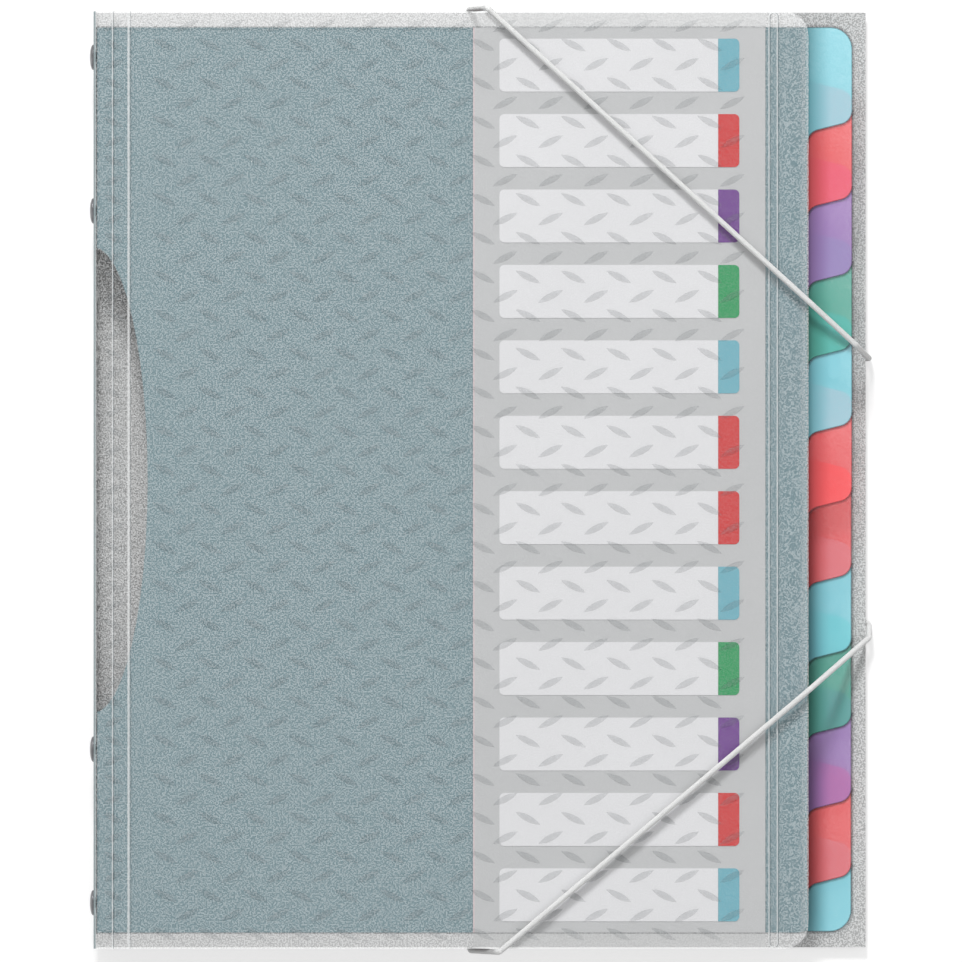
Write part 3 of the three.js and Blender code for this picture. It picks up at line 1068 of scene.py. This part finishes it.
@dataclass
class Cover:
    """The see-through cover, its pressed pattern and the living hinge at the score."""

    sizes: FolderSizes
    palette: Palette
    score_inset: float = 12 * MM
    score_half: float = 0.35 * MM
    web_thickness: float = 0.3 * MM
    spine_score: float = 6.5 * MM
    fore_scores: tuple[float, float] = (13.5 * MM, 10.7 * MM)
    loop_margin: float = 0.6 * MM
    furrow_offset: float = 0.38 * MM
    bead_width: float = 0.36 * MM
    bead_rise: float = 0.06 * MM
    furrow_rise: float = 0.02 * MM
    bead_sink: float = 0.02 * MM
    bead_crown: float = 0.6
    strip_mark: float = 7.6 * MM
    strip_margins: tuple[float, float] = (2.4 * MM, 0.6 * MM)
    panel_margins: tuple[float, float] = (0.8 * MM, 14.5 * MM)
    arc_steps: int = 12

    def build(self) -> None:
        """Dresses the two cover nodes and adds what lies on and between them."""
        dress("cover_back", self.palette.back_cover)
        dress("cover_front", self.palette.front_cover)
        pattern = PressedPattern(self.sizes, self.palette)
        spine = self.sizes.spine
        score = spine + self.score_inset
        left, right = self.strip_margins
        strip = pattern.field("pressed_marks_margin", spine + left, score - right, self.strip_mark)
        strip.visible_shadow = False
        ride(strip, Body.FOLDER)
        left, right = self.panel_margins
        edge = self.sizes.front_edge
        panel = pattern.field("pressed_marks_front", score + left, edge - right, pattern.length)
        panel.visible_shadow = False
        ride(panel, Body.FRONT)
        self.hinge_web()
        self.score_lines()

    def score_lines(self) -> None:
        """The whitened creases and, beside them, the furrows' painted shadows, on the margin and
        the fore-edge.
        """
        end = self.sizes.half_height
        spine = self.sizes.spine
        margin = spine + self.spine_score
        hinge = spine + self.score_inset + self.furrow_offset + self.score_half
        straight = [(margin, -end), (margin, end)]
        beside = [(x + self.furrow_offset, y) for x, y in straight]
        loop = self.fore_loop(0.0)
        furrow_loop = self.fore_loop(self.furrow_offset)
        crease, furrow_shadow = self.palette.crease, self.palette.furrow_shadow
        # Each furrow strip is a painted shadow of its score's groove.
        for name, path, rise, material, body in (
            ("margin_crease", straight, self.bead_rise, crease, Body.FOLDER),
            ("margin_furrow", beside, self.furrow_rise, furrow_shadow, Body.FOLDER),
            ("hinge_furrow", [(hinge, -end), (hinge, end)], self.furrow_rise, furrow_shadow, Body.FRONT),
            ("fore_crease", loop, self.bead_rise, crease, Body.FRONT),
            ("fore_furrow", furrow_loop, self.furrow_rise, furrow_shadow, Body.FRONT),
        ):
            ride(self.bead(name, path, rise, material), body)

    def fore_loop(self, shift: float) -> list[tuple[float, float]]:
        """The long hairpin of the two fore-edge creases, round at the head and the tail.

        Args:
            shift: how far it is moved towards the fore-edge.

        Returns:
            The closed path's points.
        """
        left, right = (self.sizes.front_edge - inset for inset in self.fore_scores)
        radius = (right - left) / 2
        middle = (left + right) / 2 + shift
        reach = self.sizes.half_height - self.loop_margin - radius
        points = []
        for end, start in ((1, 0.0), (-1, math.pi)):
            points += arc((middle, end * reach), radius, start, start + math.pi, self.arc_steps)
        points.append(points[0])
        return points

    def bead(
        self,
        name: str,
        path: list[tuple[float, float]],
        rise: float,
        material: bpy.types.Material,
    ) -> bpy.types.Object:
        """A low rounded bead along a path on the cover's face.

        Args:
            name: the piece's name.
            path: points in X and Y; a closed path ends on its first point.
            rise: how far it stands above the face.
            material: its finish.

        Returns:
            The bead as a closed mesh.
        """
        half = self.bead_width / 2
        sink = -self.bead_sink
        crown = half * self.bead_crown
        section = ((-half, sink), (half, sink), (crown, rise), (-crown, rise))
        shape = bmesh.new()
        add_bead(shape, path, self.sizes.top, section)
        bead = bmesh_object(name, shape)
        bead.data.materials.append(material)
        return bead

    def hinge_web(self) -> None:
        """The thin film left at the bottom of the score, which on the real folder bends as the
        cover turns; here it is a straight strip fastened to neither body.
        """
        middle = self.sizes.spine + self.score_inset
        end = self.sizes.half_height
        top = self.sizes.top - (COVER_SHEET - self.web_thickness) / 2
        bottom = top - self.web_thickness
        shape = bmesh.new()
        rows = []
        for step in range(self.arc_steps + 1):
            x = middle - self.score_half + 2 * self.score_half * step / self.arc_steps
            corners = ((-end, bottom), (end, bottom), (end, top), (-end, top))
            rows.append([shape.verts.new((x, y, z)) for y, z in corners])
        for here, there in zip(rows[:-1], rows[1:]):
            for side in range(4):
                after = (side + 1) % 4
                shape.faces.new((here[side], here[after], there[after], there[side]))
        shape.faces.new(rows[0])
        shape.faces.new(rows[-1])
        web = bmesh_object("hinge_web", shape)
        web.data.materials.append(self.palette.crease)
        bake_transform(web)
        LOG.info("hinge_web bends between the bodies")


def arc(
    centre: tuple[float, float], radius: float, start: float, end: float, steps: int
) -> list[tuple[float, float]]:
    """Points of an arc in plan.

    Args:
        centre: its centre.
        radius: its radius.
        start: angle that it starts at.
        end: angle that it ends at.
        steps: how many equal steps it takes.

    Returns:
        The points, both ends included.
    """
    points = []
    for step in range(steps + 1):
        angle = start + (end - start) * step / steps
        points.append((centre[0] + radius * math.cos(angle), centre[1] + radius * math.sin(angle)))
    return points


def add_bead(
    shape: bmesh.types.BMesh,
    path: list[tuple[float, float]],
    level: float,
    section: tuple[tuple[float, float], ...],
) -> None:
    """Adds a strip of one section along a path to a bmesh, with U running across it.

    Args:
        shape: what it is added to.
        path: points in X and Y; a closed path ends on its first point.
        level: the height that the section is counted from.
        section: its corners, each to the path's right and up.
    """
    closed = path[0] == path[-1]
    uv = shape.loops.layers.uv.verify()
    sides_at = [side for side, _ in section]
    left, right = min(sides_at), max(sides_at)
    shares = [(side - left) / (right - left) for side in sides_at]
    points = [Vector((x, y, level)) for x, y in (path[:-1] if closed else path)]
    count = len(points)
    rows = []
    for index, point in enumerate(points):
        before = points[index - 1] if closed or index else point
        after = points[(index + 1) % count] if closed or index < count - 1 else point
        across = (after - before).normalized().cross(Vector((0, 0, 1)))
        rows.append(
            [shape.verts.new(point + across * side + Vector((0, 0, up))) for side, up in section]
        )
    sides = len(section)
    for index in range(count if closed else count - 1):
        here, there = rows[index], rows[(index + 1) % count]
        for side in range(sides):
            onward = (side + 1) % sides
            face = shape.faces.new((here[side], here[onward], there[onward], there[side]))
            for loop, corner in zip(face.loops, (side, onward, onward, side)):
                loop[uv].uv = (shares[corner], 0.0)
    if not closed:
        shape.faces.new(rows[0])
        shape.faces.new(rows[-1])


def dress(name: str, material: bpy.types.Material) -> None:
    """Gives one of the frame's own nodes one material in all its slots.

    Args:
        name: the node's name.
        material: its finish.
    """
    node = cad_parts[name]
    if not node.material_slots:
        node.data.materials.append(material)
    for slot in node.material_slots:
        slot.material = material


@dataclass
class Leaves:
    """The twelve tabbed dividers, with a painted shadow along each tab's cut edge."""

    sizes: FolderSizes
    palette: Palette
    body_inset: float = 0.5 * MM
    flank_radius: float = 4.8 * MM
    flank_slope: float = math.radians(14)
    tab_overlap: float = 2.5 * MM
    corner_radius: float = 7.4 * MM
    edge_inner: float = 0.2 * MM
    shadow_reach: float = 1.0 * MM
    edge_rise: float = 0.02 * MM
    edge_foot: float = 0.24 * MM
    edge_shoulder: float = 0.15 * MM
    arc_steps: int = 8

    def build(self) -> None:
        """Dresses each divider in its film and lines its tab with a painted shadow."""
        section = (
            (self.shadow_reach, -self.edge_foot),
            (-self.edge_inner, -self.edge_foot),
            (-self.edge_inner, self.edge_rise),
            (self.shadow_reach, -self.edge_shoulder),
        )
        shape = bmesh.new()
        for number, tint in enumerate(TAB_ORDER, start=1):
            dress(f"leaf_{number:02d}", self.palette.leaf[tint])
            add_bead(shape, self.tab_edge_shadow(number), self.sizes.leaf_top[number], section)
        edges = bmesh_object("tab_edges", shape)
        edges.data.materials.append(self.palette.tab_edge_shadow)
        edges.visible_shadow = False
        ride(edges, Body.FOLDER)

    def tab_edge_shadow(self, number: int) -> list[tuple[float, float]]:
        """The free edge of one tab, where its painted shadow runs, walked so that the outside lies
        to the right.

        Args:
            number: the leaf's number from the top.

        Returns:
            The path's points.
        """
        count = len(TAB_ORDER)
        half = self.sizes.leaf_end
        pitch = 2 * half / count
        tip = self.sizes.tab_tip
        body = self.sizes.front_edge - self.body_inset
        radius, corner = self.flank_radius, self.corner_radius
        head = half - (number - 1) * pitch - self.tab_overlap
        tail = half - number * pitch - self.tab_overlap
        right = math.pi / 2
        turn = right - self.flank_slope
        steps = self.arc_steps
        if number == count:
            centre = (tip - corner, corner - half)
            path = [(tip, head), *arc(centre, corner, 0.0, -right, steps), (body, -half)]
        else:
            bend = radius * (1 - math.cos(turn))
            straight = tip - body - 2 * bend
            fall = 2 * radius * math.sin(turn) + straight * math.tan(self.flank_slope)
            outer = arc((tip - radius, tail), radius, 0.0, -turn, steps)
            inner = arc((body + radius, tail - fall), radius, math.pi - turn, math.pi, steps)
            path = [(tip, head), *outer, *inner]
        if number == 1:
            centre = (tip - corner, half - corner)
            path[:1] = [(body, half), *arc(centre, corner, right, 0.0, steps)]
        return path[::-1]


@dataclass
class IndexLabel:
    """The printed label on the top leaf: white fields with a colour chip each."""

    sizes: FolderSizes
    palette: Palette
    field_width: float = 74.7 * MM
    chip_width: float = 7.2 * MM
    field_height: float = 18.1 * MM
    inset: float = 8.9 * MM
    slit: float = 0.1 * MM
    corner: float = 1.7 * MM
    corner_steps: int = 6
    ink: float = 0.04 * MM
    relief: float = 0.1 * MM
    edge_highlight_width: float = 0.5 * MM

    def build(self) -> None:
        """Dresses the label and prints on it."""
        dress("index_label", self.palette.label)
        low, high = self.sizes.label
        right = high.x - self.inset
        chip_left = right - self.chip_width
        field_left = chip_left - self.field_width
        rows = len(TAB_ORDER)
        pitch = (high.y - low.y) / rows
        fields = bmesh.new()
        chips = bmesh.new()
        for row in range(rows):
            middle = high.y - (row + 0.5) * pitch
            span = (middle - self.field_height / 2, middle + self.field_height / 2)
            self.patch(fields, (field_left, chip_left - self.slit), span, (True, False))
            before = len(chips.faces)
            self.patch(chips, (chip_left, right), span, (False, True))
            chips.faces.ensure_lookup_table()
            for face in chips.faces[before:]:
                face.material_index = list(Tint).index(TAB_ORDER[row])
        white = bmesh_object("index_fields", fields)
        white.data.materials.append(self.palette.field)
        ride(white, Body.FOLDER)
        colours = bmesh_object("index_chips", chips)
        for tint in Tint:
            colours.data.materials.append(self.palette.chip[tint])
        ride(colours, Body.FOLDER)
        self.edge_highlight(low, high)

    def patch(
        self,
        shape: bmesh.types.BMesh,
        across: tuple[float, float],
        up: tuple[float, float],
        rounded: tuple[bool, bool],
    ) -> None:
        """Adds one thin printed patch to a bmesh.

        Args:
            shape: what it is added to.
            across: its left and right edges.
            up: its bottom and top edges.
            rounded: whether its left and its right corners are round.
        """
        outline = []
        corners = (
            (across[1], up[1], 0.0, rounded[1]),
            (across[0], up[1], 90.0, rounded[0]),
            (across[0], up[0], 180.0, rounded[0]),
            (across[1], up[0], 270.0, rounded[1]),
        )
        for x, y, start, is_round in corners:
            if not is_round:
                outline.append((x, y))
                continue
            side_x = 1 if x == across[1] else -1
            side_y = 1 if y == up[1] else -1
            centre = (x - side_x * self.corner, y - side_y * self.corner)
            first = math.radians(start)
            outline += arc(centre, self.corner, first, first + math.pi / 2, self.corner_steps)
        top = self.sizes.label[1].z
        extrude_outline(shape, outline, top - self.ink, top + self.ink)

    def edge_highlight(self, low: Vector, high: Vector) -> None:
        """A painted highlight: the faint pale line down the label's spine side, where light catches
        the sheet's edge.
        """
        shape = bmesh.new()
        outline = [
            (low.x + self.edge_highlight_width, high.y),
            (low.x, high.y),
            (low.x, low.y),
            (low.x + self.edge_highlight_width, low.y),
        ]
        film_top = high.z - self.relief
        extrude_outline(shape, outline, film_top - self.ink, film_top + self.ink)
        line = bmesh_object("index_border", shape)
        line.data.materials.append(self.palette.edge_highlight)
        ride(line, Body.FOLDER)


def extrude_outline(
    shape: bmesh.types.BMesh, outline: list[tuple[float, float]], bottom: float, top: float
) -> None:
    """Adds a closed plate with a plan outline to a bmesh.

    Args:
        shape: what it is added to.
        outline: its corners, counter-clockwise.
        bottom: its lower level.
        top: its upper level.
    """
    lower = [shape.verts.new((x, y, bottom)) for x, y in outline]
    upper = [shape.verts.new((x, y, top)) for x, y in outline]
    shape.faces.new(upper)
    shape.faces.new(list(reversed(lower)))
    for here in range(len(outline)):
        after = (here + 1) % len(outline)
        shape.faces.new((lower[here], lower[after], upper[after], upper[here]))


@dataclass
class Rivets:
    """Four domed rivets along the spine, with their washers."""

    sizes: FolderSizes
    palette: Palette
    turns: int = 40
    dome_steps: int = 12
    head_depth: float = 1.3 * MM
    dome_share: float = 0.82
    rim_share: float = 0.95
    rim_break: float = 0.12 * MM
    shank: float = 1.5 * MM
    set_rise: float = 0.9 * MM
    set_radius: float = 2.3 * MM

    def build(self) -> None:
        """Replaces the plain rivets with turned ones and dresses the washers."""
        names = [f"rivet_{number}" for number in RIVETS]
        places = []
        for name in names:
            low, high = (Vector(corner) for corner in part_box(name))
            places.append((low + high) / 2)
            reach = high.x - low.x
            radius = (high.z - low.z) / 2
        template = self.turned(reach, radius)
        tree = GeometryTree("rivet row", {"Turn": ("NodeSocketFloat", 0.0)})
        nodes = tree.nodes
        joined = nodes.add("GeometryNodeJoinGeometry")
        source = nodes.add("GeometryNodeObjectInfo")
        source.inputs["Object"].default_value = template
        for place in places:
            move = nodes.add("GeometryNodeTransform")
            nodes.link(source.outputs["Geometry"], move.inputs["Geometry"])
            move.inputs["Translation"].default_value = (place.x - reach / 2, place.y, place.z)
            nodes.link(move.outputs[0], joined.inputs[0])
        tree.finish(joined.outputs[0], self.palette.rivet)
        row = tree.run("spine_rivets")
        bpy.data.objects.remove(template)
        ride(row, Body.FOLDER, *names)
        for number in RIVETS:
            dress(f"rivet_washer_{number}", self.palette.rivet)

    def turned(self, reach: float, radius: float) -> bpy.types.Object:
        """One rivet along X from the crown of its head.

        Args:
            reach: its whole length.
            radius: its head's radius.

        Returns:
            The rivet with its crown at the origin.
        """
        head, rise, wide = self.head_depth, self.set_rise, self.set_radius
        profile = [(0.0, 0.0)]
        for step in range(1, self.dome_steps + 1):
            angle = step / self.dome_steps * math.pi / 2
            depth = head * self.dome_share * (1 - math.cos(angle))
            profile.append((depth, radius * math.sin(angle)))
        profile += [
            (head * self.rim_share, radius),
            (head, radius - self.rim_break),
            (head, self.shank),
            (reach - rise, self.shank),
            (reach - rise, wide),
            (reach - rise * 0.6, wide),
            (reach - rise * 0.2, wide * 0.8),
            (reach, wide * 0.55),
            (reach - rise * 0.25, 0.0),
        ]
        shape = bmesh.new()
        rings = []
        for x, r in profile:
            if r == 0.0:
                rings.append([shape.verts.new((x, 0.0, 0.0))])
                continue
            ring = []
            for turn in range(self.turns):
                angle = 2 * math.pi * turn / self.turns
                ring.append(shape.verts.new((x, r * math.cos(angle), r * math.sin(angle))))
            rings.append(ring)
        for here, there in zip(rings[:-1], rings[1:]):
            for turn in range(self.turns):
                after = (turn + 1) % self.turns
                if len(here) == 1:
                    shape.faces.new((here[0], there[turn], there[after]))
                elif len(there) == 1:
                    shape.faces.new((here[turn], here[after], there[0]))
                else:
                    shape.faces.new((here[turn], here[after], there[after], there[turn]))
        return bmesh_object("rivet template", shape, smooth=True)


@dataclass(frozen=True)
class CordRoute:
    """Where one cord runs: X counted from the spine, Y from the middle of the cover.

    Fields:
        side: 1 at the head of the cover, -1 at its tail.
        end_under: X under the end edge.
        end_over: X over the end edge.
        fore_over: Y over the fore-edge.
        fore_under: Y under the fore-edge.
        end_hole: Y of the hole near the end edge.
        side_hole: Y of the hole near the fore-edge.
        tab: number of the highest tab under the cord.
    """

    side: int
    end_under: float
    end_over: float
    fore_over: float
    fore_under: float
    end_hole: float
    side_hole: float
    tab: int


CORD_ROUTES = {
    "upper": CordRoute(
        side=1,
        end_under=128.2 * MM,
        end_over=134.4 * MM,
        fore_over=41.7 * MM,
        fore_under=41.7 * MM,
        end_hole=149.0 * MM,
        side_hole=40.5 * MM,
        tab=4,
    ),
    "lower": CordRoute(
        side=-1,
        end_under=128.6 * MM,
        end_over=138.5 * MM,
        fore_over=-54.0 * MM,
        fore_under=-49.2 * MM,
        end_hole=-149.0 * MM,
        side_hole=-45.0 * MM,
        tab=9,
    ),
}


@dataclass
class Elastics:
    """Two round elastics over the cover's corners, and the steel tags at their ends."""

    sizes: FolderSizes
    palette: Palette
    diameter: float = 1.9 * MM
    gap: float = 0.2 * MM
    end_hole_inset: float = 126 * MM
    side_hole_inset: float = 11 * MM
    folded_share: float = 0.04
    folded_drop: float = 1.2 * MM
    sides: int = 20
    bend_steps: int = 12
    least_bend_steps: int = 3
    straight_step: float = 4 * MM
    same_point: float = 0.001 * MM

    def build(self) -> None:
        """Makes both cords and dresses the tags."""
        for name, cord_route in CORD_ROUTES.items():
            corners = self.route(cord_route)
            cord = self.tube(f"elastic_cord_{name}", self.stations(corners))
            cord.data.materials.append(self.palette.elastic)
            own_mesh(cord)
            ride(cord, Body.FOLDER, f"elastic_{name}")
        for place in ("head", "upper_side", "tail", "lower_side"):
            dress(f"cord_tag_{place}", self.palette.tag)

    def route(self, cord: CordRoute) -> list[Vector]:
        """The corners of one cord's route, from its first hole to its second.

        Args:
            cord: where it crosses the cover's edges.

        Returns:
            The corner points.
        """
        sizes = self.sizes
        wrap = self.diameter / 2 + self.gap
        hole_x = sizes.spine + self.end_hole_inset
        side_x = sizes.back_edge - self.side_hole_inset
        under = sizes.under - wrap
        top = sizes.top + wrap
        inner = sizes.under + COVER_SHEET
        end_y = cord.side * (sizes.half_height + wrap)
        fore_x = sizes.back_edge + wrap
        start_x = sizes.spine + cord.end_over
        slope = (cord.fore_over - end_y) / (fore_x - start_x)
        edge_x = sizes.front_edge + wrap / 2
        tip_x = sizes.tab_tip + wrap

        def line(x: float) -> float:
            """Y of the straight run at an X."""
            return end_y + slope * (x - start_x)

        return [
            Vector((hole_x, cord.end_hole, inner)),
            Vector((hole_x, cord.end_hole, under)),
            Vector((sizes.spine + cord.end_under, end_y, under)),
            Vector((start_x, end_y, top)),
            Vector((edge_x, line(edge_x), top)),
            Vector((tip_x, line(tip_x), sizes.leaf_top[cord.tab] + wrap)),
            Vector((fore_x, cord.fore_over, inner + wrap)),
            Vector((fore_x, cord.fore_under, under)),
            Vector((side_x, cord.side_hole, under)),
            Vector((side_x, cord.side_hole, inner)),
        ]

    def stations(self, corners: list[Vector]) -> list[Vector]:
        """Points along a route with each corner rounded.

        Args:
            corners: the route's corner points.

        Returns:
            The points, close together in the bends.
        """
        radius = self.diameter / 2 + self.gap
        points = [corners[0]]
        for before, here, after in zip(corners[:-2], corners[1:-1], corners[2:]):
            back = (before - here).normalized()
            onward = (after - here).normalized()
            half = back.angle(onward) / 2
            start = here + back * (radius / math.tan(half))
            centre = here + (back + onward).normalized() * (radius / math.sin(half))
            spoke = start - centre
            sweep = math.pi - 2 * half
            self.run_straight(points, start)
            steps = round(sweep / (math.pi / 2) * self.bend_steps)
            steps = max(self.least_bend_steps, steps)
            for step in range(steps + 1):
                angle = sweep * step / steps
                points.append(
                    centre + spoke * math.cos(angle) - back * (radius * math.sin(angle))
                )
        self.run_straight(points, corners[-1])
        points.append(corners[-1])
        return points

    def run_straight(self, points: list[Vector], end: Vector) -> None:
        """Adds points along a straight run, up to but without its end.

        Args:
            points: the points so far, which get the new ones.
            end: where the run ends.
        """
        start = points[-1]
        steps = max(1, round((end - start).length / self.straight_step))
        for step in range(1, steps):
            points.append(start.lerp(end, step / steps))

    def tube(self, name: str, points: list[Vector]) -> bpy.types.Object:
        """A closed round tube along points, with a UV map of turns and of lengths in diameters.

        Args:
            name: the piece's name.
            points: its centre line.

        Returns:
            The tube.
        """
        unique = [points[0]]
        for point in points[1:]:
            if (point - unique[-1]).length > self.same_point:
                unique.append(point)
        shape = bmesh.new()
        uv = shape.loops.layers.uv.new("UVMap")
        radius = self.diameter / 2
        normal = Vector((1, 0, 0))
        rings, lengths, length = [], [], 0.0
        last = len(unique) - 1
        for index, point in enumerate(unique):
            tangent = (unique[min(index + 1, last)] - unique[max(index - 1, 0)]).normalized()
            normal = (normal - tangent * normal.dot(tangent)).normalized()
            side = tangent.cross(normal)
            if index:
                length += (point - unique[index - 1]).length
            lengths.append(length / self.diameter)
            ring = []
            for turn in range(self.sides):
                angle = 2 * math.pi * turn / self.sides
                ring.append(
                    shape.verts.new(
                        point + (normal * math.cos(angle) + side * math.sin(angle)) * radius
                    )
                )
            rings.append(ring)
        for index in range(last):
            here, there = rings[index], rings[index + 1]
            for turn in range(self.sides):
                after = (turn + 1) % self.sides
                face = shape.faces.new((here[turn], here[after], there[after], there[turn]))
                turns = (turn, turn + 1, turn + 1, turn)
                ends = (index, index, index + 1, index + 1)
                for loop, share, end in zip(face.loops, turns, ends):
                    loop[uv].uv = (share / self.sides, lengths[end])
        shape.faces.new(rings[0])
        shape.faces.new(list(reversed(rings[-1])))
        return bmesh_object(name, shape, smooth=True)


@dataclass
class Studio:
    """Pale table, soft light from the head of the page, and a camera straight above."""

    sizes: FolderSizes
    frame_width: float = 0.3289
    lens: float = 600.0
    sensor: float = 36.0
    photo_centre: Point = (-0.04 * MM, -0.34 * MM, 0.0)
    table_half: float = 3.0
    table_albedo: float = 0.55
    table_glow: float = 0.5
    sky: float = 0.5
    far: float = 50.0

    def build(self) -> None:
        """Makes the stage, the lamps, the world and the camera."""
        self.table()
        self.lamp("key", (-0.35, 2.5, 1.8), 0.6, 80.0)
        self.lamp("fill", (0.6, -1.6, 2.9), 2.8, 22.0)
        self.world()
        self.camera()
        bpy.context.scene.view_settings.view_transform = "Standard"

    def table(self) -> None:
        """The plain floor, white to the camera apart from the folder's shadow."""
        half = self.table_half
        shape = bmesh.new()
        corners = ((-half, -half), (half, -half), (half, half), (-half, half))
        shape.faces.new([shape.verts.new((x, y, 0.0)) for x, y in corners])
        floor = bmesh_object("table", shape)
        floor.data.materials.append(self.table_paint())

    def table_paint(self) -> bpy.types.Material:
        """Matt white, lifted to full white where it is seen directly or mirrored."""
        material = bpy.data.materials.new("table paint")
        material.use_nodes = True
        tree = material.node_tree
        nodes = Nodes(tree)
        out = tree.nodes["Material Output"]
        paint = tree.nodes["Principled BSDF"]
        albedo = self.table_albedo
        paint.inputs["Base Color"].default_value = (albedo, albedo, albedo, 1.0)
        paint.inputs["Roughness"].default_value = 0.9
        glow = nodes.add("ShaderNodeEmission")
        strength = nodes.math("MULTIPLY", self.seen_directly(nodes), self.table_glow)
        nodes.link(strength, glow.inputs["Strength"])
        both = nodes.add("ShaderNodeAddShader")
        nodes.link(paint.outputs[0], both.inputs[0])
        nodes.link(glow.outputs[0], both.inputs[1])
        nodes.link(both.outputs[0], out.inputs["Surface"])
        return material

    @staticmethod
    def seen_directly(nodes: Nodes) -> bpy.types.NodeSocket:
        """A mask that is 1 for what the camera sees, also in a mirror or through glass.

        Args:
            nodes: the tree that it goes into.

        Returns:
            The mask's socket.
        """
        rays = nodes.add("ShaderNodeLightPath")
        seen = nodes.math("MAXIMUM", rays.outputs["Is Camera Ray"], rays.outputs["Is Glossy Ray"])
        return nodes.math("MAXIMUM", seen, rays.outputs["Is Transmission Ray"])

    @staticmethod
    def lamp(name: str, place: Point, size: float, power: float) -> None:
        """A square soft lamp aimed at the folder.

        Args:
            name: its name.
            place: where it stands.
            size: the length of its sides.
            power: its power in watts.
        """
        data = bpy.data.lights.new(name, "AREA")
        data.size = size
        data.energy = power
        lamp = bpy.data.objects.new(name, data)
        bpy.context.scene.collection.objects.link(lamp)
        lamp.location = place
        lamp.rotation_euler = Vector(place).to_track_quat("Z", "Y").to_euler()

    def world(self) -> None:
        """Even white surroundings."""
        world = bpy.data.worlds.new("studio")
        bpy.context.scene.world = world
        world.use_nodes = True
        tree = world.node_tree
        nodes = Nodes(tree)
        back = tree.nodes["Background"]
        seen = self.seen_directly(nodes)
        nodes.link(nodes.ramp(seen, 0.0, 1.0, self.sky, 1.0), back.inputs["Strength"])
        back.inputs["Color"].default_value = (1.0, 1.0, 1.0, 1.0)

    def camera(self) -> None:
        """A long lens straight above, framed as the photograph is."""
        data = bpy.data.cameras.new("camera")
        data.lens = self.lens
        data.sensor_width = self.sensor
        data.clip_end = self.far
        camera = bpy.data.objects.new("camera", data)
        bpy.context.scene.collection.objects.link(camera)
        distance = self.frame_width * self.lens / self.sensor
        level = self.sizes.mid_level
        x, y, _ = self.photo_centre
        camera.location = (x, y, level + distance)
        bpy.context.scene.camera = camera


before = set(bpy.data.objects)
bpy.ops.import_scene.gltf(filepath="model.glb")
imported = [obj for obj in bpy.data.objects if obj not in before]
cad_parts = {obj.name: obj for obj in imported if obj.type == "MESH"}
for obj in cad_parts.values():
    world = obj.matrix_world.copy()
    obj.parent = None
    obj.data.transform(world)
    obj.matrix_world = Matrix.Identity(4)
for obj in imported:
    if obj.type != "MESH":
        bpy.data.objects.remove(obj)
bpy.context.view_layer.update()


def main() -> None:
    """Builds every sub-assembly in order."""
    logging.basicConfig(level=logging.INFO, format="%(name)s: %(message)s")
    sizes = FolderSizes.read()
    palette = Palette(sizes)
    Studio(sizes).build()
    Elastics(sizes, palette).build()
    Cover(sizes, palette).build()
    Leaves(sizes, palette).build()
    IndexLabel(sizes, palette).build()
    Rivets(sizes, palette).build()


if __name__ == "__main__":
    main()
